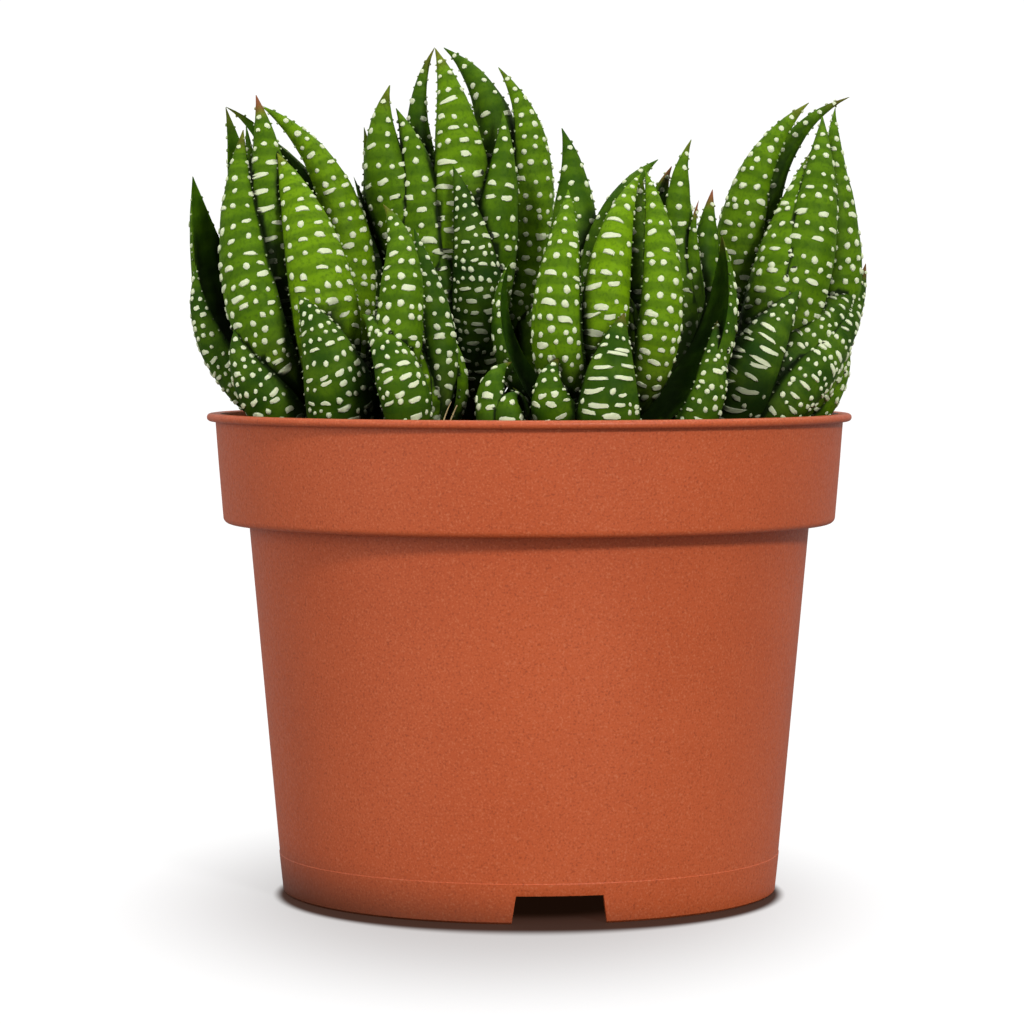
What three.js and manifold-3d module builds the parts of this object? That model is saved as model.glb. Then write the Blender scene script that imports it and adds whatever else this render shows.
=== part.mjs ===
// A clump of haworthia rosettes growing in a round plastic grow pot.
// Millimetres, +Z up. The origin is the middle of the pot's foot, on the surface it stands on.
// -Y is the front, +X is the right.
import * as THREE from 'three';
import { mergeVertices } from 'three/addons/utils/BufferGeometryUtils.js';
import Module from 'manifold-3d';

const wasm = await Module();
wasm.setup();

// Pot: a moulded 12 cm pot with a collar under its lip and a foot ring under its floor.
const POT_HEIGHT = 89.2;
const LIP_RADIUS = 60.1;
const LIP_THICKNESS = 1.5;
const LIP_ROUND = 0.7;
const COLLAR_TOP_RADIUS = 58.6;
const COLLAR_FOOT_RADIUS = 57.1;
const COLLAR_FOOT_Z = 68.8;
const COLLAR_ROUND = 1.2;
const BODY_TOP_RADIUS = 52.3;
const FOOT_RADIUS = 46.1;
const FOOT_BEVEL = 0.4;
const PARTING_Z = 7.2;
const PARTING_LEDGE = 0.25;
const WALL = 1.2;
const FLOOR_UNDERSIDE = 6.0;
const POT_SIDES = 40;

// Three notches in the foot ring let water out, and six holes drain the floor.
const NOTCH_ANGLE = 6.8;
const NOTCH_HEIGHT = 5.1;
const NOTCH_TOP_WIDTH = 15.6;
const NOTCH_FOOT_WIDTH = 17.0;
const DRAIN_RADIUS = 4;
const DRAIN_RING = 30;

// Soil: fills the pot to a little under the lip, with a plain hole for each stem.
const SOIL_TOP = 78.8;
const SOIL_RIPPLE = 0.5;
const GAP = 0.3;
const HOLE_FLOOR = 70;

// Stems and leaves.
const STEM_RADIUS = 4.2;
const STEM_SIDES = 8;
const STEM_COVER = 2;
const ROOT_Z = 83.5;
const ROOT_CLIMB = 12;
const TALLEST = 70;
const TALL = 42;
const ROOT_REACH = 3;
const ROOT_TILT = 0.8;
const LEAF_DEPTH = 0.42;
const SHOULDER_SPREAD = 0.27;
const SHOULDER_DEPTH = 0.92;
const WIDEST = 0.6;
const TAPER = 1.05;
const ROOT_WIDTH = 0.4;
const TIP_WIDTH = 0.05;
const STATIONS = [0, 0.28, 0.46, 0.62, 0.76, 0.89];
const LAST_ROW = 4;
const DOT = 1.3;
const BAND_LENGTH = 4.2;
const BAND_WIDTH = 1.1;
const TUBERCLE_HEIGHT = 0.55;
const WELD = 0.06;
const HAIR = 0.004;

// The rosettes. A stem is a place on the soil. A leaf's row is a point low on it, one at its
// middle and one at its tip, x, y and z each, then its greatest width and the way its back faces,
// in degrees round the pot from the front towards the right. A hidden leaf's row is the way it
// faces, its reach from the stem and its height over the root.
const ROSETTES = [
  {
    name: 'rosette_left',
    stem: [-38, -7],
    lean: [-0.2, 0.1],
    leaves: [
      [-54, 3, 101, -59.6, 3, 119, -63, 2, 133.3, 11, -130],
      [-52.4, -6, 94.5, -58.6, -6, 106, -61.2, -4, 116.7, 9.5, -62],
      [-47.3, -18, 101.5, -51.8, -15, 116, -52.9, -8, 138.6, 10.4, -28],
      [-49.5, -3, 118, -51, -3, 130, -51.9, -2, 140, 8, -55],
      [-46.4, -11, 112, -47.6, -10, 128.5, -50.6, -4, 148.1, 10.5, -8],
      [-36.5, -21, 104.5, -39.3, -19, 119, -46.3, -10, 137.1, 12.2, 6],
      [-34, -26.5, 93.5, -36.3, -26, 101, -41.9, -20, 110.8, 13.4, 2],
      [-46.5, -19, 91, -50.5, -18, 96.5, -53.9, -12, 105.6, 10.5, -32],
      [-33, -3, 111, -35.7, -3, 128, -50.2, -1, 146.4, 9.4, 32],
      [-34, 5, 116, -40.5, 6, 131.5, -50, 4, 142.6, 9, 125],
      [-30, 4, 114, -31, 5, 125, -33, 6, 133.4, 7, 75],
      [-53.3, 5, 124, -55.6, 6, 137, -57.2, 6, 146.4, 9, -145],
      [-46, 9, 130, -51, 9, 141.5, -57.1, 8, 146.6, 6.5, 160],
    ],
    hidden: [
      [150, 12, 48],
      [-165, 13, 42],
      [165, 15, 27],
      [112, 13, 29],
    ],
  },
  {
    name: 'rosette_front_left',
    stem: [-20.5, -30],
    lean: [-0.08, 0.12],
    leaves: [
      [-23.2, -36, 102.5, -22.6, -34, 115.5, -26.2, -27, 127.2, 8.6, -6],
      [-15.8, -29, 96, -17, -28, 108.5, -20.8, -24, 123.1, 6.4, 40],
      [-21.8, -41, 92.5, -24.4, -39, 100.3, -29.7, -33, 107.5, 8.8, 4],
    ],
    hidden: [
      [-165, 8, 33],
      [120, 7, 26],
    ],
  },
  {
    name: 'rosette_back',
    stem: [-12, 15],
    lean: [-0.02, -0.06],
    leaves: [
      [-28.4, 11, 122, -30.2, 10, 133, -31.2, 8, 142.8, 9, -50],
      [-22.5, 4, 124, -26.2, 3, 138.3, -26, 4, 150.3, 12.8, -14],
      [-19, 1, 121.5, -20.5, 2, 133.7, -24, 6, 145.7, 11, 0],
      [-19.6, 10, 131, -21.1, 11, 147, -17.9, 12, 158, 7.6, -35],
      [-12.2, 1, 128, -13.6, 3, 144, -17.5, 9, 157.6, 12, 2],
      [-5, 9, 132, -8.8, 11, 150, -16.2, 14, 158.1, 12.5, 14],
      [-1.6, 7, 121, -1.2, 7, 140, -6.1, 8, 154.1, 10.8, 26],
      [-7, -2, 119, -5.1, -2, 132.5, -4.9, 3, 145.5, 10, 4],
      [-9.5, -4, 113, -11, -3, 123.5, -14.3, 0, 135.5, 10.5, -4],
      [-15.5, 0, 110, -16.8, 1, 121.5, -16.8, 4, 133.7, 10, -40],
    ],
    hidden: [
      [100, 12, 50],
      [150, 13, 58],
      [-155, 13, 61],
      [-105, 12, 50],
      [70, 13, 31],
      [125, 15, 31],
      [-180, 16, 32],
      [-130, 12, 30],
    ],
  },
  {
    name: 'rosette_front',
    stem: [15, -22],
    lean: [0.04, 0.08],
    leaves: [
      [-1.5, -29, 98.5, -4.4, -28, 108.3, -3.5, -26, 116.9, 9.4, -106],
      [8, -14, 120, 8.2, -12, 131, 6, -10, 141.7, 11, 5],
      [5.3, -35, 101, 5.4, -34, 113.6, 7, -26, 129.9, 9.6, -20],
      [14, -34, 104.5, 15.6, -32, 119, 20.1, -22, 132.8, 9.4, -8],
      [12.5, -20, 116, 16.1, -19, 128, 23.5, -16, 135.7, 9, -38],
      [22.9, -34, 104, 23.7, -31, 118, 20.6, -22, 133.1, 8.9, 14],
      [28.5, -17, 112, 28.3, -16, 126.5, 29.9, -12, 139.6, 9, 50],
      [21, -15, 112, 21, -13.5, 122, 21.5, -14, 131.5, 8.5, 0],
      [25, -12, 118, 25, -11, 127, 25.6, -10, 134.1, 7.5, 0],
      [30, -18, 112, 29.6, -19, 121, 30.8, -18.5, 128.2, 5, 40],
      [30.5, -26, 99.5, 34.2, -23, 110.5, 34.9, -21, 121.7, 12, 116],
      [31.3, -12, 111, 32.4, -11, 121, 33.8, -8, 130.5, 9.2, 24],
      [14, -43, 92.5, 14.7, -41, 99, 17, -34, 107.7, 11.5, 2],
      [6.5, -38, 87, 3.6, -42.5, 93.5, 5.4, -38, 100, 10, -14],
      [31.4, -31.5, 92, 33, -30, 98.5, 34, -25, 106.5, 7.4, 24],
    ],
    hidden: [
      [-125, 11, 38],
      [180, 13, 44],
      [128, 12, 38],
      [-155, 13, 26],
    ],
  },
  {
    name: 'rosette_right',
    stem: [38, -6],
    lean: [0.26, 0.1],
    leaves: [
      [39.7, 0, 120, 43.2, 0, 135.5, 52.2, 2, 147, 10.2, -34],
      [43.6, 6, 126, 47.6, 6, 139, 60.1, 6, 148.3, 7.4, -20],
      [44.5, -12, 110, 48.2, -8, 127, 52.7, -2, 141, 11, -16],
      [49.6, -12, 112, 53.3, -9, 127.7, 55.1, 0, 144.2, 9.4, 6],
      [57, -4, 112, 57.5, -3, 129, 57.4, 4, 146.3, 9, 34],
      [46, -18.5, 90, 56.4, -10, 102, 62.9, -1, 117, 10, 40],
      [46, -15, 96.5, 53.6, -10.5, 105, 60.9, -3, 115.3, 10, 14],
      [38.5, -19, 94, 43, -17, 103, 49.9, -10, 112, 11.5, -14],
    ],
    hidden: [
      [85, 13, 40],
      [125, 13, 52],
      [170, 13, 55],
      [-145, 12, 46],
      [105, 15, 28],
      [150, 16, 28],
      [-165, 15, 28],
    ],
  },
  {
    name: 'rosette_small',
    stem: [-4.5, -37.5],
    lean: [0, 0],
    leaves: [
      [-6.5, -39, 91, -6.3, -38, 95, -3.1, -35, 99, 6.5, -42],
      [-3.5, -41.5, 88.5, -3.6, -41.5, 91.3, -1.6, -39, 93.6, 5.5, -8],
    ],
    hidden: [
      [110, 3, 11],
      [-140, 3.5, 13],
    ],
  },
  {
    name: 'rosette_back_right',
    stem: [21, 30],
    lean: [0.05, 0.05],
    leaves: [],
    hidden: [
      [-20, 13, 29],
      [52, 13, 30],
      [124, 13, 29],
      [-164, 13, 29],
      [-92, 13, 28],
      [20, 6.5, 36],
      [140, 6.5, 37],
      [-100, 6.5, 36],
    ],
  },
  {
    name: 'rosette_back_left',
    stem: [-37.5, 25.5],
    lean: [-0.05, 0.05],
    leaves: [],
    hidden: [
      [-20, 10, 27],
      [52, 9, 26],
      [124, 10, 28],
      [-164, 9, 28],
      [-92, 9, 27],
      [20, 5, 34],
      [140, 5, 34],
      [-100, 5, 34],
    ],
  },
];
const HIDDEN_WIDTH = 10;
const SMALL_HIDDEN_WIDTH = 5;
const SMALL_REACH = 4;

const radians = THREE.MathUtils.degToRad;
const point = (x, y, z) => new THREE.Vector3(x, y, z);

// A closed shape with its shared corners merged, as a solid that can be joined and cut.
function solidFrom(geometry) {
  geometry.deleteAttribute('normal');
  geometry.deleteAttribute('uv');
  const merged = mergeVertices(geometry, 1e-4);
  const corners = merged.index.array;
  const triangles = [];
  for (let i = 0; i < corners.length; i += 3) {
    const [a, b, c] = corners.slice(i, i + 3);
    if (a !== b && b !== c && c !== a) triangles.push(a, b, c);
  }
  return new wasm.Manifold(new wasm.Mesh({
    numProp: 3,
    vertProperties: new Float32Array(merged.attributes.position.array),
    triVerts: new Uint32Array(triangles),
  }));
}

// Where leaves cross, some corners almost touch. Those closer than WELD become one corner, and
// the triangles that close up with them go.
function welded(corners, triangles) {
  const into = corners.map((_, i) => i);
  const home = (i) => (into[i] === i ? i : home(into[i]));
  for (const triangle of triangles) {
    for (let i = 0; i < 3; i += 1) {
      const a = home(triangle[i]);
      const b = home(triangle[(i + 1) % 3]);
      if (a !== b && corners[a].distanceTo(corners[b]) < WELD) into[b] = a;
    }
  }
  const open = triangles.map((t) => t.map(home)).filter(([a, b, c]) => a !== b && b !== c && c !== a);
  const key = (t) => [...t].sort((a, b) => a - b).join();
  const folded = new Map();
  for (const t of open) folded.set(key(t), (folded.get(key(t)) || 0) + 1);
  return open.filter((t) => folded.get(key(t)) === 1);
}

// A triangle as thin as a hair swaps its long edge for the other diagonal of the pair it shares.
function flipped(corners, triangles) {
  const across = new Map();
  const list = triangles.map((t) => [...t]);
  const note = (t) => t.forEach((a, i) => across.set(`${a},${t[(i + 1) % 3]}`, t));
  list.forEach(note);
  for (const t of list) {
    const lengths = t.map((a, i) => corners[a].distanceTo(corners[t[(i + 1) % 3]]));
    const long = lengths.indexOf(Math.max(...lengths));
    const [a, b, c] = [t[long], t[(long + 1) % 3], t[(long + 2) % 3]];
    const size = new THREE.Triangle(corners[a], corners[b], corners[c]).getArea();
    if ((2 * size) / lengths[long] > HAIR) continue;
    const twin = across.get(`${b},${a}`);
    const d = twin.find((corner) => corner !== a && corner !== b);
    if (across.has(`${c},${d}`) || across.has(`${d},${c}`)) continue;
    across.delete(`${a},${b}`);
    across.delete(`${b},${a}`);
    t.splice(0, 3, a, d, c);
    twin.splice(0, 3, d, b, c);
    note(t);
    note(twin);
  }
  return list;
}

// Joined leaves can close off a hollow or leave a scrap: of the surfaces whose triangles share
// edges, only the one round the most volume is kept.
function largestSurface(corners, triangles) {
  const into = triangles.map((_, i) => i);
  const home = (i) => {
    let at = i;
    while (into[at] !== at) at = into[at];
    return at;
  };
  const owner = new Map();
  triangles.forEach((t, i) => t.forEach((a, k) => owner.set(`${a},${t[(k + 1) % 3]}`, i)));
  triangles.forEach((t, i) => t.forEach((a, k) => {
    into[home(owner.get(`${t[(k + 1) % 3]},${a}`))] = home(i);
  }));
  const volumes = new Map();
  triangles.forEach(([a, b, c], i) => {
    const wedge = corners[a].dot(corners[b].clone().cross(corners[c]));
    volumes.set(home(i), (volumes.get(home(i)) || 0) + wedge);
  });
  const [largest] = [...volumes].reduce((best, entry) => (entry[1] > best[1] ? entry : best));
  return triangles.filter((_, i) => home(i) === largest);
}

function meshFrom(solid, name, material) {
  const { vertProperties, triVerts } = solid.getMesh();
  const corners = [];
  for (let i = 0; i < vertProperties.length; i += 3) corners.push(point(...vertProperties.slice(i, i + 3)));
  let triangles = [];
  for (let i = 0; i < triVerts.length; i += 3) triangles.push([...triVerts.slice(i, i + 3)]);
  for (let pass = 0; pass < 3; pass += 1) triangles = flipped(corners, welded(corners, triangles));
  const area = ([a, b, c]) => new THREE.Triangle(corners[a], corners[b], corners[c]).getArea();
  const surface = largestSurface(corners, triangles).sort((one, other) => area(other) - area(one));
  const geometry = new THREE.BufferGeometry().setFromPoints(corners);
  geometry.setIndex(surface.flat());
  const mesh = new THREE.Mesh(geometry, material);
  mesh.name = name;
  return mesh;
}

// A turned shape from a profile of radius and height.
function turned(profile, sides) {
  const outline = profile.map(([radius, z]) => new THREE.Vector2(radius, z));
  return new THREE.LatheGeometry(outline, sides).rotateX(Math.PI / 2);
}

function arc(centreRadius, centreZ, size, fromDegrees, toDegrees, steps) {
  return Array.from({ length: steps + 1 }, (_, i) => {
    const angle = radians(fromDegrees + ((toDegrees - fromDegrees) * i) / steps);
    return [centreRadius + size * Math.cos(angle), centreZ + size * Math.sin(angle)];
  });
}

const bodySlope = (BODY_TOP_RADIUS - FOOT_RADIUS) / COLLAR_FOOT_Z;
const bodyRadius = (z) => FOOT_RADIUS + bodySlope * z;
const collarSlope = (COLLAR_TOP_RADIUS - COLLAR_FOOT_RADIUS) / (POT_HEIGHT - COLLAR_FOOT_Z);
const collarRadius = (z) => COLLAR_FOOT_RADIUS + collarSlope * (z - COLLAR_FOOT_Z);
const floorTop = FLOOR_UNDERSIDE + WALL;
const stepZ = COLLAR_FOOT_Z + WALL;
const lipUnderside = POT_HEIGHT - LIP_THICKNESS;

// The pot's outside from the foot to the lip, then its inside back down to the floor.
function potShell() {
  return solidFrom(turned([
    [0, FLOOR_UNDERSIDE],
    [FOOT_RADIUS - WALL, FLOOR_UNDERSIDE],
    [FOOT_RADIUS - WALL, 0],
    [FOOT_RADIUS - FOOT_BEVEL, 0],
    [bodyRadius(FOOT_BEVEL), FOOT_BEVEL],
    [bodyRadius(PARTING_Z) + PARTING_LEDGE, PARTING_Z],
    [bodyRadius(PARTING_Z + PARTING_LEDGE), PARTING_Z + PARTING_LEDGE],
    [BODY_TOP_RADIUS, COLLAR_FOOT_Z],
    ...arc(COLLAR_FOOT_RADIUS - COLLAR_ROUND, COLLAR_FOOT_Z + COLLAR_ROUND, COLLAR_ROUND, -90, 0, 2),
    [collarRadius(lipUnderside), lipUnderside],
    ...arc(LIP_RADIUS - LIP_ROUND, POT_HEIGHT - LIP_ROUND, LIP_ROUND, -90, 90, 3),
    [collarRadius(POT_HEIGHT) - WALL, POT_HEIGHT],
    [collarRadius(stepZ) - WALL, stepZ],
    [bodyRadius(stepZ) - WALL, stepZ],
    [bodyRadius(floorTop + WALL) - WALL, floorTop + WALL],
    [bodyRadius(floorTop) - 2 * WALL, floorTop],
    [0, floorTop],
  ], POT_SIDES));
}

// A wedge across the foot ring, a little wider at the bottom.
function notch(turnDegrees) {
  const below = 1;
  const flare = (NOTCH_FOOT_WIDTH - NOTCH_TOP_WIDTH) / 2 / NOTCH_HEIGHT;
  const footHalf = NOTCH_FOOT_WIDTH / 2 + flare * below;
  const outline = new THREE.Shape([
    new THREE.Vector2(-footHalf, -below),
    new THREE.Vector2(footHalf, -below),
    new THREE.Vector2(NOTCH_TOP_WIDTH / 2, NOTCH_HEIGHT),
    new THREE.Vector2(-NOTCH_TOP_WIDTH / 2, NOTCH_HEIGHT),
  ]);
  const depth = 8;
  const wedge = new THREE.ExtrudeGeometry(outline, { depth, bevelEnabled: false });
  wedge.rotateX(Math.PI / 2);
  wedge.translate(0, -(FOOT_RADIUS - depth + 2), 0);
  wedge.rotateZ(radians(turnDegrees));
  return solidFrom(wedge);
}

// An upright cylinder between two heights.
function post(x, y, fromZ, toZ, radius, sides) {
  const cylinder = new THREE.CylinderGeometry(radius, radius, toZ - fromZ, sides);
  cylinder.rotateX(Math.PI / 2).rotateZ(Math.PI / sides).translate(x, y, (fromZ + toZ) / 2);
  return solidFrom(cylinder);
}

function pot() {
  let shell = potShell();
  for (const turn of [0, 120, 240]) shell = shell.subtract(notch(NOTCH_ANGLE + turn));
  for (let i = 0; i < 6; i += 1) {
    const angle = radians(30 + 60 * i);
    const drain = post(DRAIN_RING * Math.cos(angle), DRAIN_RING * Math.sin(angle), 0, 15, DRAIN_RADIUS, 12);
    shell = shell.subtract(drain);
  }
  return shell;
}

// The soil keeps a small gap to the pot, and its top rolls gently.
function soil() {
  const topRadius = collarRadius(SOIL_TOP) - WALL - GAP;
  const geometry = turned([
    [0, floorTop + GAP],
    [bodyRadius(floorTop) - 2 * WALL - GAP, floorTop + GAP],
    [bodyRadius(floorTop + WALL) - WALL - GAP, floorTop + WALL + GAP],
    [bodyRadius(stepZ) - WALL - GAP, stepZ + GAP],
    [collarRadius(stepZ) - WALL - GAP, stepZ + GAP],
    [topRadius, SOIL_TOP - 0.6],
    [topRadius - 4, SOIL_TOP],
    [topRadius * 0.75, SOIL_TOP],
    [topRadius * 0.5, SOIL_TOP],
    [topRadius * 0.25, SOIL_TOP],
    [0, SOIL_TOP],
  ], POT_SIDES / 2);
  const place = geometry.attributes.position;
  for (let i = 0; i < place.count; i += 1) {
    if (place.getZ(i) < SOIL_TOP - 0.1) continue;
    const roll = Math.sin(place.getX(i) * 0.21 + 1) + Math.cos(place.getY(i) * 0.27 + place.getX(i) * 0.08);
    place.setZ(i, SOIL_TOP + (SOIL_RIPPLE / 2) * roll);
  }
  let body = solidFrom(geometry);
  for (const { stem: [x, y] } of ROSETTES) {
    body = body.subtract(post(x, y, HOLE_FLOOR, POT_HEIGHT, STEM_RADIUS + GAP, STEM_SIDES));
  }
  return body;
}

// The one smooth curve through four points, paced by the distances between them.
function curveThrough(points, t) {
  const reach = [0];
  for (let i = 1; i < 4; i += 1) reach.push(reach[i - 1] + points[i].distanceTo(points[i - 1]));
  const at = t * reach[3];
  const place = point(0, 0, 0);
  for (let i = 0; i < 4; i += 1) {
    let weight = 1;
    for (let j = 0; j < 4; j += 1) if (j !== i) weight *= (at - reach[j]) / (reach[i] - reach[j]);
    place.addScaledVector(points[i], weight);
  }
  return place;
}

// A leaf's share of its greatest width: a slender tip that swells to the middle, then a broad root.
function widthShare(t) {
  const fromTip = 1 - t;
  if (fromTip > WIDEST) {
    return 1 - (1 - ROOT_WIDTH) * ((fromTip - WIDEST) / (1 - WIDEST)) ** 2;
  }
  return Math.max(TIP_WIDTH, Math.sin((fromTip / WIDEST) * (Math.PI / 2)) ** TAPER);
}

// Four corners round the leaf at one station: its two margins and the two shoulders of its back,
// which faces a little downwards where the leaf leaves the stem.
function section(points, t, width, outward) {
  const step = 0.01;
  const middle = curveThrough(points, t);
  const along = curveThrough(points, t + step).sub(curveThrough(points, t - step)).normalize();
  const facing = outward.clone().setZ(-ROOT_TILT * (1 - t) ** 4);
  const back = facing.addScaledVector(along, -facing.dot(along)).normalize();
  const side = new THREE.Vector3().crossVectors(along, back);
  const size = width * widthShare(t);
  const corner = (across, out) => middle.clone()
    .addScaledVector(side, across * size)
    .addScaledVector(back, out * size);
  return [
    corner(-0.5, 0),
    corner(-SHOULDER_SPREAD, LEAF_DEPTH * SHOULDER_DEPTH),
    corner(SHOULDER_SPREAD, LEAF_DEPTH * SHOULDER_DEPTH),
    corner(0.5, 0),
  ];
}

// A raised tubercle in one cell of the leaf's back: a dot rises to a point, a band to a ridge.
function tubercle([a, b, c, d], length, width, addTriangle) {
  const across = (a.distanceTo(b) + c.distanceTo(d)) / 2;
  const along = (a.distanceTo(d) + b.distanceTo(c)) / 2;
  const halfU = Math.min(0.42, length / across / 2);
  const halfV = Math.min(0.4, width / along / 2);
  const spot = (u, v) => a.clone().lerp(b, u).lerp(d.clone().lerp(c, u), v);
  const rise = new THREE.Vector3()
    .crossVectors(c.clone().sub(a), d.clone().sub(b))
    .normalize()
    .multiplyScalar(TUBERCLE_HEIGHT);
  const rim = [
    spot(0.5 - halfU, 0.5 - halfV),
    spot(0.5 + halfU, 0.5 - halfV),
    spot(0.5 + halfU, 0.5 + halfV),
    spot(0.5 - halfU, 0.5 + halfV),
  ];
  const outer = [a, b, c, d];
  for (let i = 0; i < 4; i += 1) {
    const next = (i + 1) % 4;
    addTriangle(outer[i], outer[next], rim[next]);
    addTriangle(outer[i], rim[next], rim[i]);
  }
  if (length > 2 * width) {
    const ridge = halfU * 0.7;
    const left = spot(0.5 - ridge, 0.5).add(rise);
    const right = spot(0.5 + ridge, 0.5).add(rise);
    addTriangle(rim[0], rim[1], right);
    addTriangle(rim[0], right, left);
    addTriangle(rim[1], rim[2], right);
    addTriangle(rim[2], rim[3], left);
    addTriangle(rim[2], left, right);
    addTriangle(rim[3], rim[0], left);
  } else {
    const peak = spot(0.5, 0.5).add(rise);
    for (let i = 0; i < 4; i += 1) addTriangle(rim[i], rim[(i + 1) % 4], peak);
  }
}

// One leaf from its root in the stem to its tip, with tubercles in rows across its back. A tall
// leaf has none near its root, where its neighbours hide it.
function leaf(points, width, facing, phase, flankDots) {
  const outward = point(Math.sin(radians(facing)), -Math.cos(radians(facing)), 0);
  const rings = STATIONS.map((t) => section(points, t, width, outward));
  const tip = points[3];
  const firstRow = tip.z - points[0].z > TALL ? 2 : 1;
  const corners = [];
  const addTriangle = (a, b, c) => corners.push(...a.toArray(), ...b.toArray(), ...c.toArray());
  for (let row = 0; row + 1 < rings.length; row += 1) {
    for (let side = 0; side < 4; side += 1) {
      const next = (side + 1) % 4;
      const cell = [rings[row][side], rings[row][next], rings[row + 1][next], rings[row + 1][side]];
      const middle = side === 1 && row >= firstRow;
      const flank = (side === 0 || side === 2) && row >= firstRow && (row + side / 2 + phase) % 2 === 0;
      if (middle && row < LAST_ROW && (row + phase) % 3 !== 0) {
        tubercle(cell, BAND_LENGTH, BAND_WIDTH, addTriangle);
      } else if (middle || (flank && flankDots)) {
        tubercle(cell, DOT, DOT, addTriangle);
      } else {
        addTriangle(cell[0], cell[1], cell[2]);
        addTriangle(cell[0], cell[2], cell[3]);
      }
    }
  }
  const root = rings[0];
  const last = rings[rings.length - 1];
  for (let side = 0; side < 4; side += 1) addTriangle(last[side], last[(side + 1) % 4], tip);
  addTriangle(root[3], root[1], root[0]);
  addTriangle(root[3], root[2], root[1]);
  const geometry = new THREE.BufferGeometry();
  geometry.setAttribute('position', new THREE.Float32BufferAttribute(corners, 3));
  return solidFrom(geometry);
}

// A hidden leaf bows out by its reach and comes in again to its tip.
function hiddenLeaf([x, y], [leanX, leanY], [facing, reach, height]) {
  const out = (share, rise) => point(
    x + leanX * rise + Math.sin(radians(facing)) * reach * share,
    y + leanY * rise - Math.cos(radians(facing)) * reach * share,
    ROOT_Z + rise,
  );
  return {
    points: [out(0.8, height * 0.22), out(1, height * 0.52), out(0.55, height)],
    width: reach < SMALL_REACH ? SMALL_HIDDEN_WIDTH : HIDDEN_WIDTH,
    facing,
    flankDots: false,
  };
}

function listedLeaf([lowX, lowY, lowZ, midX, midY, midZ, tipX, tipY, tipZ, width, facing]) {
  const points = [point(lowX, lowY, lowZ), point(midX, midY, midZ), point(tipX, tipY, tipZ)];
  return { points, width, facing, flankDots: true };
}

// A leaf roots low on the stem if it is short and up to ROOT_CLIMB higher if it is tall, a little
// to the side that it grows towards.
function rootOf([x, y], [low, , tip]) {
  const climb = ROOT_CLIMB * THREE.MathUtils.clamp((tip.z - ROOT_Z) / TALLEST - 0.3, 0, 1);
  const away = point(low.x - x, low.y - y, 0).setLength(ROOT_REACH);
  return point(x, y, ROOT_Z + climb).add(away);
}

// A rosette is its leaves and its stem, grown together.
function rosette({ stem, lean, leaves, hidden }) {
  const all = [...leaves.map(listedLeaf), ...hidden.map((row) => hiddenLeaf(stem, lean, row))];
  const roots = all.map(({ points }) => rootOf(stem, points));
  const stemTop = Math.max(...roots.map((root) => root.z)) + STEM_COVER;
  let body = post(stem[0], stem[1], HOLE_FLOOR + GAP, stemTop, STEM_RADIUS, STEM_SIDES);
  all.forEach(({ points, width, facing, flankDots }, i) => {
    body = body.add(leaf([roots[i], ...points], width, facing, i % 2, flankDots));
  });
  return body;
}

const terracotta = new THREE.MeshStandardMaterial({ color: 0xb9552f, roughness: 0.55, metalness: 0 });
const peat = new THREE.MeshStandardMaterial({ color: 0x2b1d14, roughness: 0.95, metalness: 0 });
const foliage = new THREE.MeshStandardMaterial({ color: 0x4f7f24, roughness: 0.5, metalness: 0 });

const plant = new THREE.Group();
plant.add(meshFrom(pot(), 'pot', terracotta));
plant.add(meshFrom(soil(), 'soil', peat));
for (const row of ROSETTES) plant.add(meshFrom(rosette(row), row.name, foliage));

export default plant;
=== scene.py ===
# A clump of haworthia rosettes in a round terracotta-coloured plastic pot, on a pale floor.
# Metres, +Z up, -Y towards the viewer. Pieces are shaped in millimetres and then brought to metres.
import math
import random

import bmesh
import bpy
from mathutils import Matrix, Vector, noise
from mathutils.bvhtree import BVHTree
from mathutils.kdtree import KDTree


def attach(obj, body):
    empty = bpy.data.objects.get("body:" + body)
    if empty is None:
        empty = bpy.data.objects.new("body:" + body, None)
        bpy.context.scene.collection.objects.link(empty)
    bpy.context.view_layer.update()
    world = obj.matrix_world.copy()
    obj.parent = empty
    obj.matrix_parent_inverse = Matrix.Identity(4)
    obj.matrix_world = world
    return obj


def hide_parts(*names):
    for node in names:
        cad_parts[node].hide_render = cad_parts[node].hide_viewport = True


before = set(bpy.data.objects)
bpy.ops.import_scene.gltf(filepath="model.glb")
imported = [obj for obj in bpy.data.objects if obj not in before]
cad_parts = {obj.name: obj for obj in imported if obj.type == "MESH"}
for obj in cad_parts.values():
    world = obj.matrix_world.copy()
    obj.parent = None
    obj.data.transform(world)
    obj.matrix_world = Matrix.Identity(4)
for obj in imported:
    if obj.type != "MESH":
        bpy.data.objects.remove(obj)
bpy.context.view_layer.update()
stage = bpy.context.scene
stage.view_settings.view_transform = "Standard"

# Camera
# A long lens, 73 cm in front of the plant and a little above the pot's lip, that looks slightly down.
CAMERA_PLACE = (0.0, -0.726, 0.106)
CAMERA_AIM = (-0.0032, 0.0, 0.0706)
LENS_MM = 136.5
SENSOR_MM = 36

camera_data = bpy.data.cameras.new("camera")
camera_data.lens = LENS_MM
camera_data.sensor_width = SENSOR_MM
camera = bpy.data.objects.new("camera", camera_data)
camera.location = CAMERA_PLACE
gaze = Vector(CAMERA_AIM) - Vector(CAMERA_PLACE)
camera.rotation_euler = gaze.to_track_quat("-Z", "Y").to_euler()
stage.collection.objects.link(camera)
stage.camera = camera

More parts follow.
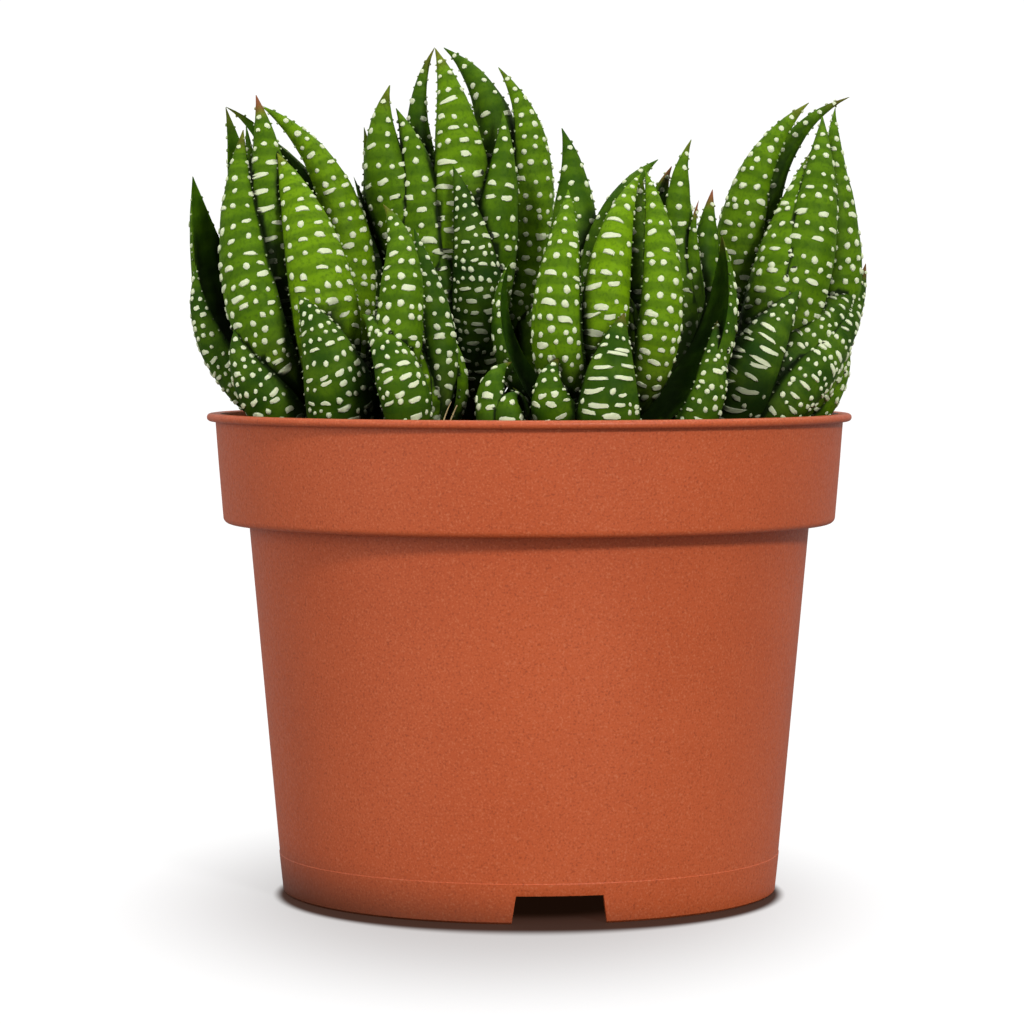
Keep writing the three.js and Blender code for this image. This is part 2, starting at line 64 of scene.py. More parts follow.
# Studio
# A pale floor that glows, so that it meets the white surround without a line. The pot's soft shade
# and the contact shadow round its foot are painted into it. A key light comes from the front right,
# a broad one from the front left, a broader one from above and behind, and the rest from a white room.
FLOOR_HALF = 4.0
FLOOR_COLOUR = (0.12, 0.12, 0.12, 1)
FLOOR_ROUGHNESS, FLOOR_GLOSS = 0.8, 0.1
FLOOR_GLOW = (1, 1, 1, 1)
FLOOR_GLOW_STRENGTH = 0.89
FLOOR_BOUNCE_STRENGTH = 0.14
ROOM_COLOUR = (1, 1, 1, 1)
ROOM_LIGHT = 0.45
ROOM_SHEEN = 0.5
SURROUND = 1.05
KEY = {"strength": 1.9, "spread": 9, "azimuth": 27, "elevation": 28}
TOP = {"strength": 1.45, "spread": 80, "azimuth": 170, "elevation": 70}
FILL = {"strength": 1.2, "spread": 60, "azimuth": -47, "elevation": 12}
LAMP_DISTANCE = 2

# The soft shade is an oval, less wide than deep, that fades out between two distances.
SHADE_SQUEEZE, SHADE_SHIFT = (1.8, 1, 0), (0.010, 0.010, 0)
SHADE_FROM, SHADE_TO, SHADE = 0.045, 0.145, 0.56

# The contact shadow ends a little outside the foot, with a blurred edge that is sharper at the sides.
# Its warm tint is darkest under the middle of the pot.
CONTACT_SQUEEZE, SIDE_SQUEEZE, CONTACT_SHIFT = (1.06, 1, 0), (1.06, 0, 0), (0, 0.006, 0)
CONTACT_REACH, CONTACT_BLUR, CONTACT_SIDE_SHARP = 0.0496, 0.0042, 2.4
CONTACT_COLOUR = (0.01, 0.008, 0.006, 1)
DEEP_REACH, NEAR_REACH = 0.026, 0.038
DEEP_TINT, NEAR_TINT = (0.010, 0.004, 0.002, 1), (0.050, 0.020, 0.013, 1)


def joined(tree, socket, value):
    """A socket takes either another node's output or a plain value."""
    if isinstance(value, bpy.types.NodeSocket):
        tree.links.new(value, socket)
    else:
        socket.default_value = value


def new_material(name):
    """A material, its tree and its Principled shader."""
    material = bpy.data.materials.new(name)
    material.use_nodes = True
    tree = material.node_tree
    return material, tree, tree.nodes["Principled BSDF"]


def far_from(tree, place, squeeze, shift):
    """How far a spot of the floor lies from a point, measured wider or narrower in each direction."""
    moved = tree.nodes.new("ShaderNodeVectorMath")
    moved.operation = "MULTIPLY_ADD"
    tree.links.new(place, moved.inputs[0])
    moved.inputs[1].default_value = squeeze
    moved.inputs[2].default_value = shift
    size = tree.nodes.new("ShaderNodeVectorMath")
    size.operation = "LENGTH"
    tree.links.new(moved.outputs["Vector"], size.inputs[0])
    return size.outputs["Value"]


def between(tree, value, low, high, to_low=0.0, to_high=1.0):
    """A value eased from one range into another."""
    made = tree.nodes.new("ShaderNodeMapRange")
    made.interpolation_type = "SMOOTHSTEP"
    tree.links.new(value, made.inputs["Value"])
    for name, number in (("From Min", low), ("From Max", high), ("To Min", to_low), ("To Max", to_high)):
        joined(tree, made.inputs[name], number)
    return made.outputs["Result"]


def sums(tree, operation, one, other):
    """One sum of two values."""
    made = tree.nodes.new("ShaderNodeMath")
    made.operation = operation
    joined(tree, made.inputs[0], one)
    joined(tree, made.inputs[1], other)
    return made.outputs[0]


def blended(tree, factor, one, other):
    """Two colours mixed by a factor."""
    mix = tree.nodes.new("ShaderNodeMix")
    mix.data_type = "RGBA"
    joined(tree, mix.inputs[0], factor)
    joined(tree, mix.inputs[6], one)
    joined(tree, mix.inputs[7], other)
    return mix.outputs[2]


floor_material, tree, shader = new_material("studio_floor")
shader.inputs["Roughness"].default_value = FLOOR_ROUGHNESS
shader.inputs["Specular IOR Level"].default_value = FLOOR_GLOSS
place = tree.nodes.new("ShaderNodeTexCoord").outputs["Object"]
soft = between(tree, far_from(tree, place, SHADE_SQUEEZE, SHADE_SHIFT), SHADE_FROM, SHADE_TO, SHADE, 1)
reach = far_from(tree, place, CONTACT_SQUEEZE, CONTACT_SHIFT)
aside = sums(tree, "DIVIDE", far_from(tree, place, SIDE_SQUEEZE, (0, 0, 0)), reach)
sideways = sums(tree, "MULTIPLY", aside, aside)
sharper = sums(tree, "ADD", sums(tree, "MULTIPLY", sideways, CONTACT_SIDE_SHARP), 1)
past = sums(tree, "MULTIPLY", sums(tree, "SUBTRACT", reach, CONTACT_REACH), sharper)
close = between(tree, past, -CONTACT_BLUR, CONTACT_BLUR)
under = blended(tree, between(tree, reach, DEEP_REACH, NEAR_REACH), DEEP_TINT, NEAR_TINT)
glow = blended(tree, sums(tree, "MULTIPLY", soft, close), under, FLOOR_GLOW)
bare = blended(tree, close, CONTACT_COLOUR, FLOOR_COLOUR)
seen = tree.nodes.new("ShaderNodeLightPath").outputs["Is Camera Ray"]
strength = between(tree, seen, 0, 1, FLOOR_BOUNCE_STRENGTH, FLOOR_GLOW_STRENGTH)
tree.links.new(bare, shader.inputs["Base Color"])
tree.links.new(glow, shader.inputs["Emission Color"])
tree.links.new(strength, shader.inputs["Emission Strength"])

bm = bmesh.new()
bmesh.ops.create_grid(bm, x_segments=1, y_segments=1, size=FLOOR_HALF)
floor_mesh = bpy.data.meshes.new("studio_floor")
bm.to_mesh(floor_mesh)
bm.free()
floor_mesh.materials.append(floor_material)
floor = bpy.data.objects.new("studio_floor", floor_mesh)
stage.collection.objects.link(floor)

room = bpy.data.worlds.new("white_room")
room.use_nodes = True
stage.world = room
tree = room.node_tree
seen = tree.nodes.new("ShaderNodeLightPath")
unseen = between(tree, seen.outputs["Is Glossy Ray"], 0, 1, ROOM_LIGHT, ROOM_SHEEN)
strength = between(tree, seen.outputs["Is Camera Ray"], 0, 1, unseen, SURROUND)
tree.nodes["Background"].inputs["Color"].default_value = ROOM_COLOUR
tree.links.new(strength, tree.nodes["Background"].inputs["Strength"])

for name, light in (("key", KEY), ("top", TOP), ("fill", FILL)):
    sun = bpy.data.lights.new(name, "SUN")
    sun.energy = light["strength"]
    sun.angle = math.radians(light["spread"])
    lamp = bpy.data.objects.new(name, sun)
    azimuth, elevation = math.radians(light["azimuth"]), math.radians(light["elevation"])
    towards = Vector((
        math.sin(azimuth) * math.cos(elevation),
        -math.cos(azimuth) * math.cos(elevation),
        math.sin(elevation),
    ))
    lamp.rotation_euler = towards.to_track_quat("Z", "Y").to_euler()
    lamp.location = towards * LAMP_DISTANCE
    stage.collection.objects.link(lamp)

# Pot
# A moulded plastic grow pot, 12 cm across the lip, with a collar round its top, a tapered body and a
# foot ring. Three notches in the ring let water out, and six holes drain the floor inside it.
MM = 0.001
POT_HEIGHT = 89.2
LIP_RADIUS = 60.1
LIP_ROUND = 0.72
INNER_LIP_ROUND = 0.4
COLLAR_TOP_RADIUS = 58.6
COLLAR_FOOT_RADIUS = 57.1
COLLAR_FOOT_Z = 68.8
COLLAR_ROUND = 1.2
BODY_TOP_RADIUS = 52.3
FOOT_RADIUS = 46.1
FOOT_EDGE = 0.35
PARTING_Z = 7.2
PARTING_LEDGE = 0.11
WALL = 1.2
FLOOR_UNDERSIDE = 6.0
BODY_RINGS, COLLAR_RING = (30, 50), 80
POT_STEPS = 192
WELD = 0.001
POT_SMOOTH = 35
EDGE_ROUND, EDGE_ROUND_STEPS, EDGE_ANGLE = 0.25, 2, 38

# The notches' cutter reaches under the ground and goes on widening there.
NOTCH_ANGLE = 6.8
NOTCH_TURNS = (0, 120, 240)
NOTCH_HEIGHT = 5.1
NOTCH_TOP_WIDTH = 15.6
NOTCH_CUT_WIDTH = 17.3
NOTCH_CUT_DEPTH = 8
NOTCH_CUT_FOOT = -1
DRAIN_RADIUS = 4.0
DRAIN_RING = 30.0
DRAIN_HOLES, DRAIN_TURN, DRAIN_SIDES = 6, 30, 32
DRAIN_CUT_Z, DRAIN_CUT_LENGTH = 6.5, 6

TERRACOTTA = (0.47, 0.079, 0.018, 1)
TERRACOTTA_LIGHT = (0.53, 0.098, 0.026, 1)
TERRACOTTA_DARK = (0.31, 0.050, 0.012, 1)
TERRACOTTA_PALE = (0.62, 0.20, 0.09, 1)
# The dark brown of the painted shade round the pot's foot.
FOOT_SHADE = (0.06, 0.022, 0.011, 1)

# Each mottle's scale and detail, the noise that it starts and ends at, and its least and most cover.
# The grain's cover is the roughness. A bump has a strength and a depth in metres.
POT_CLOUDS = (34, 4, 0.3, 0.7, 0.1, 0.7)
DARK_SPECKS = (2600, 2, 0.52, 0.75, 0, 0.8)
PALE_SPECKS = (2600, 2, 0.46, 0.28, 0, 0.42)
POT_GRAIN = (1200, 3, 0.3, 0.7, 0.42, 0.56)
POT_BUMP, POT_BUMP_DEPTH = 0.25, 0.00008
POT_GLOSS = 0.4

# Painted shade round the foot, darker towards the bottom, in metres. It climbs higher at the left.
FOOT_SHADE_TOP, FOOT_SHADE_BOTTOM, FOOT_SHADE_MOST = 0.0075, -0.0065, 0.85
FOOT_SHADE_TILT = 0.11


def arc(centre_radius, centre_z, size, start, end, steps):
    """Points of an arc in the profile plane, from one angle to another in degrees."""
    angles = [math.radians(start + (end - start) * i / steps) for i in range(steps + 1)]
    return [(centre_radius + size * math.cos(a), centre_z + size * math.sin(a)) for a in angles]


def body_radius(z):
    return FOOT_RADIUS + (BODY_TOP_RADIUS - FOOT_RADIUS) * z / COLLAR_FOOT_Z


def collar_radius(z):
    rise = (z - COLLAR_FOOT_Z) / (POT_HEIGHT - COLLAR_FOOT_Z)
    return COLLAR_FOOT_RADIUS + (COLLAR_TOP_RADIUS - COLLAR_FOOT_RADIUS) * rise


def finished(bm, name, material, smooth_to):
    """A piece at the origin from a mesh in millimetres, smooth but for edges sharper than an angle."""
    bmesh.ops.scale(bm, vec=(MM, MM, MM), verts=bm.verts)
    mesh = bpy.data.meshes.new(name)
    bm.to_mesh(mesh)
    bm.free()
    mesh.materials.append(material)
    mesh.shade_smooth()
    mesh.set_sharp_from_angle(angle=math.radians(smooth_to))
    piece = bpy.data.objects.new(name, mesh)
    stage.collection.objects.link(piece)
    return piece


MOTTLE_VALUES = ("Scale", "Detail", "Low", "High", "Least", "Most")


def mottle_group():
    """A shader group: a noise, and the cover that is eased from it between two of its values."""
    group = bpy.data.node_groups.new("mottle", "ShaderNodeTree")
    group.interface.new_socket("Place", in_out="INPUT", socket_type="NodeSocketVector")
    for name in MOTTLE_VALUES:
        group.interface.new_socket(name, in_out="INPUT", socket_type="NodeSocketFloat")
    for name in ("Noise", "Cover"):
        group.interface.new_socket(name, in_out="OUTPUT", socket_type="NodeSocketFloat")
    given = group.nodes.new("NodeGroupInput").outputs
    result = group.nodes.new("NodeGroupOutput").inputs
    made = group.nodes.new("ShaderNodeTexNoise")
    group.links.new(given["Place"], made.inputs["Vector"])
    group.links.new(given["Scale"], made.inputs["Scale"])
    group.links.new(given["Detail"], made.inputs["Detail"])
    ends = [given[name] for name in ("Low", "High", "Least", "Most")]
    group.links.new(made.outputs["Fac"], result["Noise"])
    group.links.new(between(group, made.outputs["Fac"], *ends), result["Cover"])
    return group


mottle = mottle_group()


def mottled(tree, place, values):
    """The outputs of the mottle, placed in a material with its own values."""
    made = tree.nodes.new("ShaderNodeGroup")
    made.node_tree = mottle
    tree.links.new(place, made.inputs["Place"])
    for name, value in zip(MOTTLE_VALUES, values):
        made.inputs[name].default_value = value
    return made.outputs


def axes(tree, vector):
    """The X, Y and Z of a vector."""
    made = tree.nodes.new("ShaderNodeSeparateXYZ")
    tree.links.new(vector, made.inputs["Vector"])
    return made.outputs


def bumped(tree, height, strength, depth, normal=None):
    """A normal roughened by a height, to a depth in metres."""
    made = tree.nodes.new("ShaderNodeBump")
    made.inputs["Strength"].default_value = strength
    made.inputs["Distance"].default_value = depth
    tree.links.new(height, made.inputs["Height"])
    if normal is not None:
        tree.links.new(normal, made.inputs["Normal"])
    return made.outputs["Normal"]


pot_material, tree, shader = new_material("terracotta_plastic")
place = tree.nodes.new("ShaderNodeTexCoord").outputs["Object"]
colour = blended(tree, mottled(tree, place, POT_CLOUDS)["Cover"], TERRACOTTA, TERRACOTTA_LIGHT)
colour = blended(tree, mottled(tree, place, DARK_SPECKS)["Cover"], colour, TERRACOTTA_DARK)
colour = blended(tree, mottled(tree, place, PALE_SPECKS)["Cover"], colour, TERRACOTTA_PALE)
spot = axes(tree, place)
tilted = sums(tree, "ADD", spot["Z"], sums(tree, "MULTIPLY", spot["X"], FOOT_SHADE_TILT))
# Painted shade, darker towards the foot of the pot and higher at the left.
foot_shade = between(tree, tilted, FOOT_SHADE_TOP, FOOT_SHADE_BOTTOM, 0, FOOT_SHADE_MOST)
grain = mottled(tree, place, POT_GRAIN)
tree.links.new(blended(tree, foot_shade, colour, FOOT_SHADE), shader.inputs["Base Color"])
tree.links.new(grain["Cover"], shader.inputs["Roughness"])
tree.links.new(bumped(tree, grain["Noise"], POT_BUMP, POT_BUMP_DEPTH), shader.inputs["Normal"])
shader.inputs["Specular IOR Level"].default_value = POT_GLOSS

floor_top = FLOOR_UNDERSIDE + WALL
step_z = COLLAR_FOOT_Z + WALL
lip_under = POT_HEIGHT - 2 * LIP_ROUND
inner_lip = collar_radius(POT_HEIGHT) - WALL + INNER_LIP_ROUND
profile = [
    (0, FLOOR_UNDERSIDE),
    (FOOT_RADIUS - WALL, FLOOR_UNDERSIDE),
    (FOOT_RADIUS - WALL, 0),
    (FOOT_RADIUS - FOOT_EDGE, 0),
    (body_radius(FOOT_EDGE), FOOT_EDGE),
    (body_radius(PARTING_Z) + PARTING_LEDGE, PARTING_Z),
    (body_radius(PARTING_Z + PARTING_LEDGE), PARTING_Z + PARTING_LEDGE),
    *((body_radius(z), z) for z in BODY_RINGS),
    (BODY_TOP_RADIUS, COLLAR_FOOT_Z),
    *arc(COLLAR_FOOT_RADIUS - COLLAR_ROUND, COLLAR_FOOT_Z + COLLAR_ROUND, COLLAR_ROUND, -90, 0, 6),
    (collar_radius(COLLAR_RING), COLLAR_RING),
    (collar_radius(lip_under), lip_under),
    *arc(LIP_RADIUS - LIP_ROUND, POT_HEIGHT - LIP_ROUND, LIP_ROUND, -90, 90, 10),
    *arc(inner_lip, POT_HEIGHT - INNER_LIP_ROUND, INNER_LIP_ROUND, 90, 180, 3),
    (collar_radius(step_z) - WALL, step_z),
    (body_radius(step_z) - WALL, step_z),
    (body_radius(floor_top + WALL) - WALL, floor_top + WALL),
    (body_radius(floor_top) - 2 * WALL, floor_top),
    (0, floor_top),
]
bm = bmesh.new()
corners = [bm.verts.new((radius, 0, z)) for radius, z in profile]
outline = [bm.edges.new(pair) for pair in zip(corners, corners[1:])]
bmesh.ops.spin(
    bm, geom=corners + outline, axis=(0, 0, 1), cent=(0, 0, 0),
    steps=POT_STEPS, angle=2 * math.pi, use_merge=True,
)
bmesh.ops.remove_doubles(bm, verts=bm.verts, dist=WELD)
bmesh.ops.recalc_face_normals(bm, faces=bm.faces)
turned = finished(bm, "turned_pot", pot_material, POT_SMOOTH)

bm = bmesh.new()
for turn in NOTCH_TURNS:
    wedge = bmesh.ops.create_cube(bm, size=1)["verts"]
    for v in wedge:
        high = v.co.z > 0
        half = (NOTCH_TOP_WIDTH if high else NOTCH_CUT_WIDTH) / 2
        z = NOTCH_HEIGHT if high else NOTCH_CUT_FOOT
        v.co = (math.copysign(half, v.co.x), -FOOT_RADIUS + v.co.y * NOTCH_CUT_DEPTH, z)
    turning = Matrix.Rotation(math.radians(NOTCH_ANGLE + turn), 3, "Z")
    bmesh.ops.rotate(bm, verts=wedge, cent=(0, 0, 0), matrix=turning)
for i in range(DRAIN_HOLES):
    angle = math.radians(DRAIN_TURN + 360 / DRAIN_HOLES * i)
    at = Matrix.Translation((DRAIN_RING * math.cos(angle), DRAIN_RING * math.sin(angle), DRAIN_CUT_Z))
    bmesh.ops.create_cone(
        bm, cap_ends=True, segments=DRAIN_SIDES, radius1=DRAIN_RADIUS, radius2=DRAIN_RADIUS,
        depth=DRAIN_CUT_LENGTH, matrix=at,
    )
cutter = finished(bm, "cutter", pot_material, POT_SMOOTH)
cut = turned.modifiers.new("cut", "BOOLEAN")
cut.operation = "DIFFERENCE"
cut.object = cutter
cut.solver = "EXACT"
bpy.context.view_layer.update()
cut_mesh = bpy.data.meshes.new_from_object(turned.evaluated_get(bpy.context.evaluated_depsgraph_get()))
pot = bpy.data.objects.new("grow_pot", cut_mesh)
stage.collection.objects.link(pot)
bpy.data.objects.remove(turned)
bpy.data.objects.remove(cutter)
rounding = pot.modifiers.new("rounded_edges", "BEVEL")
rounding.width = EDGE_ROUND * MM
rounding.segments = EDGE_ROUND_STEPS
rounding.limit_method = "ANGLE"
rounding.angle_limit = math.radians(EDGE_ANGLE)
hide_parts("pot")
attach(pot, "root")

# Soil
# Loose dark peat that fills the pot from its floor to a centimetre under the lip and holds the
# stems. Its top is lumpy, with crumbs and a few root fibres on it.
SOIL_TOP = 78.8
SOIL_GRID = 150
GAP = 0.3
RIM_DROP, RIM_FADE = 0.8, 3
LUMP_SCALE, LUMP_HEIGHT = 0.16, 1.1
LUMP_FRACTAL = (0.9, 2.1, 5)
KNOB_SCALE, KNOB_HEIGHT = 0.75, 0.45
SOIL_SMOOTH = 60
SOIL_SEED = 41
CRUMBS = 420
CRUMB_SIZES = (0.5, 0.7, 0.9, 1.3, 1.8)
CRUMB_UNEVEN = (0.75, 1.15)
CRUMB_MARGIN = 2
CRUMB_RISE = 0.35
FIBRES = 46
FIBRE_LENGTHS = (7, 16)
FIBRE_RADII = (0.22, 0.12)
FIBRE_BEND = 0.05
FIBRE_REACH = 48
FIBRE_RISE = 1.1
PEAT = (0.022, 0.013, 0.008, 1)
PEAT_BROWN = (0.075, 0.04, 0.02, 1)
PEAT_SPECK = (0.16, 0.10, 0.055, 1)
DRY_FIBRE = (0.40, 0.30, 0.15, 1)

# Mottles, with their values in the pot's order, and the bump's strength and its depth in metres.
PEAT_LUMPS = (260, 6, 0.4, 0.75, 0, 1)
PEAT_SPECKS = (1500, 4, 0.62, 0.8, 0, 0.6)
PEAT_BUMP, PEAT_BUMP_DEPTH = 0.8, 0.0005
PEAT_ROUGHNESS, PEAT_GLOSS = 0.95, 0.15

# Two dry fibres that stand up at the front: foot, middle, tip and greatest radius. What stands above
# the peat has their colour, from one height to another in metres.
STRAWS = (
    ((-17.2, -46.5, 78), (-14.6, -47.0, 87.6), (-12.6, -46.0, 91.6), 0.34),
    ((-15.6, -46.6, 86), (-14.9, -46.4, 90.0), (-13.6, -45.6, 92.2), 0.22),
)
STRAW_TIP_SHARE = 0.3
STRAW_FROM, STRAW_TO = 0.0835, 0.0865

soil_material, tree, shader = new_material("peat")
place = tree.nodes.new("ShaderNodeTexCoord").outputs["Object"]
specks = mottled(tree, place, PEAT_SPECKS)
colour = blended(tree, mottled(tree, place, PEAT_LUMPS)["Cover"], PEAT, PEAT_BROWN)
colour = blended(tree, specks["Cover"], colour, PEAT_SPECK)
colour = blended(tree, between(tree, axes(tree, place)["Z"], STRAW_FROM, STRAW_TO), colour, DRY_FIBRE)
tree.links.new(colour, shader.inputs["Base Color"])
tree.links.new(bumped(tree, specks["Noise"], PEAT_BUMP, PEAT_BUMP_DEPTH), shader.inputs["Normal"])
shader.inputs["Roughness"].default_value = PEAT_ROUGHNESS
shader.inputs["Specular IOR Level"].default_value = PEAT_GLOSS


def joined_to(whole, bm):
    """A small mesh becomes part of a larger one."""
    mesh = bpy.data.meshes.new("part")
    bm.to_mesh(mesh)
    bm.free()
    whole.from_mesh(mesh)
    bpy.data.meshes.remove(mesh)


chance = random.Random(SOIL_SEED)
soil_radius = collar_radius(SOIL_TOP) - WALL - GAP
bm = bmesh.new()
bmesh.ops.create_grid(bm, x_segments=SOIL_GRID, y_segments=SOIL_GRID, size=1)
for v in bm.verts:
    x, y = v.co.x, v.co.y
    flat = Vector((x * math.sqrt(1 - y * y / 2), y * math.sqrt(1 - x * x / 2), 0)) * soil_radius
    inside = min(1.0, (soil_radius - flat.length) / RIM_FADE)
    lump = noise.fractal(flat * LUMP_SCALE, *LUMP_FRACTAL) * LUMP_HEIGHT
    lump += noise.noise(flat * KNOB_SCALE) * KNOB_HEIGHT
    v.co = (flat.x, flat.y, SOIL_TOP - RIM_DROP + RIM_DROP * inside + lump * inside)
rim = [e for e in bm.edges if e.is_boundary]
rings = (
    (collar_radius(step_z) - WALL - GAP, step_z + GAP),
    (body_radius(step_z) - WALL - GAP, step_z + GAP),
    (body_radius(floor_top + WALL) - WALL - GAP, floor_top + WALL + GAP),
    (body_radius(floor_top) - 2 * WALL - GAP, floor_top + GAP),
)
for radius, z in rings:
    lower = bmesh.ops.extrude_edge_only(bm, edges=rim)["geom"]
    rim = [e for e in lower if isinstance(e, bmesh.types.BMEdge) and e.is_boundary]
    for v in [g for g in lower if isinstance(g, bmesh.types.BMVert)]:
        across = Vector((v.co.x, v.co.y)).normalized() * radius
        v.co = (across.x, across.y, z)
bmesh.ops.edgenet_fill(bm, edges=rim)
bmesh.ops.recalc_face_normals(bm, faces=bm.faces)
litter = bmesh.new()
for _ in range(CRUMBS):
    angle = chance.uniform(0, 2 * math.pi)
    out = (soil_radius - CRUMB_MARGIN) * math.sqrt(chance.random())
    size = chance.choice(CRUMB_SIZES)
    crumb = bmesh.ops.create_icosphere(litter, subdivisions=1, radius=size)["verts"]
    for v in crumb:
        v.co *= chance.uniform(*CRUMB_UNEVEN)
    turning = Matrix.Rotation(chance.uniform(0, 6), 3, (chance.random(), 1, chance.random()))
    bmesh.ops.rotate(litter, verts=crumb, cent=(0, 0, 0), matrix=turning)
    shift = (out * math.cos(angle), out * math.sin(angle), SOIL_TOP + size * CRUMB_RISE)
    bmesh.ops.translate(litter, verts=crumb, vec=shift)
for _ in range(FIBRES):
    fibre = bmesh.new()
    bmesh.ops.create_cone(
        fibre, cap_ends=True, segments=5, radius1=FIBRE_RADII[0], radius2=FIBRE_RADII[1],
        depth=chance.uniform(*FIBRE_LENGTHS),
    )
    long_edges = [e for e in fibre.edges if abs(e.verts[0].co.z - e.verts[1].co.z) > 2]
    bmesh.ops.subdivide_edges(fibre, edges=long_edges, cuts=4)
    bend, heading = chance.uniform(-FIBRE_BEND, FIBRE_BEND), chance.uniform(0, 2 * math.pi)
    angle, out = chance.uniform(0, 2 * math.pi), FIBRE_REACH * math.sqrt(chance.random())
    run = Vector((math.cos(heading), math.sin(heading), 0))
    aside = Vector((-math.sin(heading), math.cos(heading), 0))
    for v in fibre.verts:
        flat = run * v.co.z + aside * (v.co.x + bend * v.co.z * v.co.z)
        lift = Vector((out * math.cos(angle), out * math.sin(angle), SOIL_TOP + FIBRE_RISE + v.co.y))
        v.co = flat + lift
    joined_to(litter, fibre)
for foot, middle, tip, radius in STRAWS:
    straw = bmesh.new()
    bmesh.ops.create_cone(
        straw, cap_ends=True, segments=6, radius1=radius, radius2=radius * STRAW_TIP_SHARE, depth=1
    )
    bmesh.ops.subdivide_edges(straw, edges=[e for e in straw.edges if e.calc_length() > 0.9], cuts=7)
    for v in straw.verts:
        along = v.co.z + 0.5
        lower, upper = Vector(foot).lerp(Vector(middle), along), Vector(middle).lerp(Vector(tip), along)
        v.co = lower.lerp(upper, along) + Vector((v.co.x, v.co.y, 0))
    joined_to(litter, straw)
joined_to(bm, litter)
soil = finished(bm, "peat", soil_material, SOIL_SMOOTH)
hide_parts("soil")
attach(soil, "root")

# Leaves
# Thick, juicy leaves that curve in to a sharp tip, on short stems that stand in the peat. The back
# is rounded and carries raised white tubercles in cross rows, the face towards the heart is smooth,
# and small teeth line the margins.
ROOT_Z = 83.5
ROOT_CLIMB, SHORT_SHARE = 12, 0.3
TALLEST = 70
ROOT_REACH = 3
ROOT_TILT = 0.8
LEAF_DEPTH = 0.42
BACK_POWER, BACK_KEEL = 0.85, 0.3
INNER_HOLLOW = 0.1
WIDEST = 0.6
TAPER = 0.94
ROOT_WIDTH = 0.4
TIP_WIDTH = 0.015
LEAF_SIDES = 20
LEAF_STEPS = 36
NUDGE = 0.01
SWELL, SWELL_SCALE, SWELL_WIDTH = 0.22, 0.22, 5
INNER_EDGE = 2.2
PATTERN_SHIFT = 400
LEAF_SMOOTH = 50
LEAF_SEED = 100
STEM_RADIUS, STEM_TAPER, STEM_SIDES = 4.2, 1, 20
HOLE_FLOOR = 70.3

# Hidden leaves, behind the others: how far out and how high each of three points lies, as shares of
# the leaf's reach and height, and what the leaves look like.
HIDDEN_BOW = ((0.8, 0.22), (1.0, 0.52), (0.55, 1))
HIDDEN_WIDTH, SMALL_HIDDEN_WIDTH, SMALL_REACH = 10, 5, 4
HIDDEN_SHADES, HIDDEN_PATTERNS, HIDDEN_BROWN = (0.25, 0.7), ("dots", "mixed", "bands"), 0.3

# Young leaves in the heart of each tall rosette.
TALL_HEART = 25
YOUNG_LEAVES, YOUNG_TURN, YOUNG_REACH, YOUNG_HEIGHTS = 5, 20, 3.2, (0.42, 0.6)
YOUNG_LOOK = (6.5, "few", 0.85, 0.2)

# Tubercles. A mark's foot lies in the leaf, its shoulder under its crown, and it bends round the
# leaf as round a tube of WRAP times the leaf's width. White is how pale a mark is.
DOT_RADIUS = 0.71
BEAD_HEIGHT, BEAD_SHOULDER, BEAD_CROWN, BEAD_SINK = 0.25, 0.72, 0.66, 0.16
BEAD_LUMPS, BEAD_LUMP_SCALE, BEAD_FOOT_WHITE = 0.4, (1.7, 1.3, 50), 0.3
DOT_SIDES, BAR_SIDES, BAR_SQUARE, BAR_BEND = 8, 12, 0.55, 0.9
WRAP = 0.46
SCRAMBLE = 977
ROWS_FROM, ROWS_TO = 0.16, 0.965
CROWD_FROM, CROWD_LENGTH, CROWD_GAP, CROWD_STEP = 0.25, 0.4, 0.45, 2.0
ROW_SLANT, ROW_EDGE, ROW_SPILL, ROW_JITTER, ROW_UNEVEN = 0.2, 0.56, 0.6, 0.6, (0.85, 1.15)
NARROW, NARROW_RADIUS, NARROW_ASIDE = 3.4, (0.55, 0.12), 0.12
NARROW_STEPS, NARROW_WHITES = (2.3, 3.4), (0.6, 0.9)
BAR_MIN_WIDTH, BAR_SPANS, BAR_FULL_WIDTH, BAR_THIN = 5, (0.4, 1.1), 9, 0.82
LONG_BAR_EXTRA, LONG_BAR_SHARE = 1.1, 0.27
MARK_SIZES, MARK_HEIGHTS, MARK_WHITES, MARK_GAPS = (0.66, 1.1), (0.85, 1.15), (0.7, 1), (0.5, 1.6)

# Teeth along the margins.
TEETH_FROM, TEETH_TO = 0.2, 0.97
TOOTH_RADIUS, TOOTH_SIZES, TOOTH_HEIGHT, TOOTH_INSET = 0.32, (0.6, 1.25), 0.34, 0.12
TOOTH_STEP, TOOTH_STEPS, TOOTH_WHITES = 1.9, (0.6, 1.9), (0.35, 0.6)

# For each pattern: the share of bars among the marks, the gap between marks and the step between
# rows in the middle of the leaf, both in millimetres, the size of its marks, the share of its bars
# that are long, and how much of the gap is left after a bar.
PATTERNS = {
    "dots": (0.14, 1.1, 2.5, 1, 0, 1),
    "mixed": (0.4, 1.2, 2.9, 1, 0, 1),
    "dense": (0.4, 0.6, 1.85, 0.8, 0, 1),
    "arcs": (0.8, 0.5, 1.9, 0.8, 0.5, 1),
    "bands": (0.75, 0.95, 2.9, 1, 0.5, 0.6),
    "few": (0.25, 1.9, 3.4, 1, 0, 1),
    "plain": (0.0, 4.0, 5.0, 1, 0, 1),
}
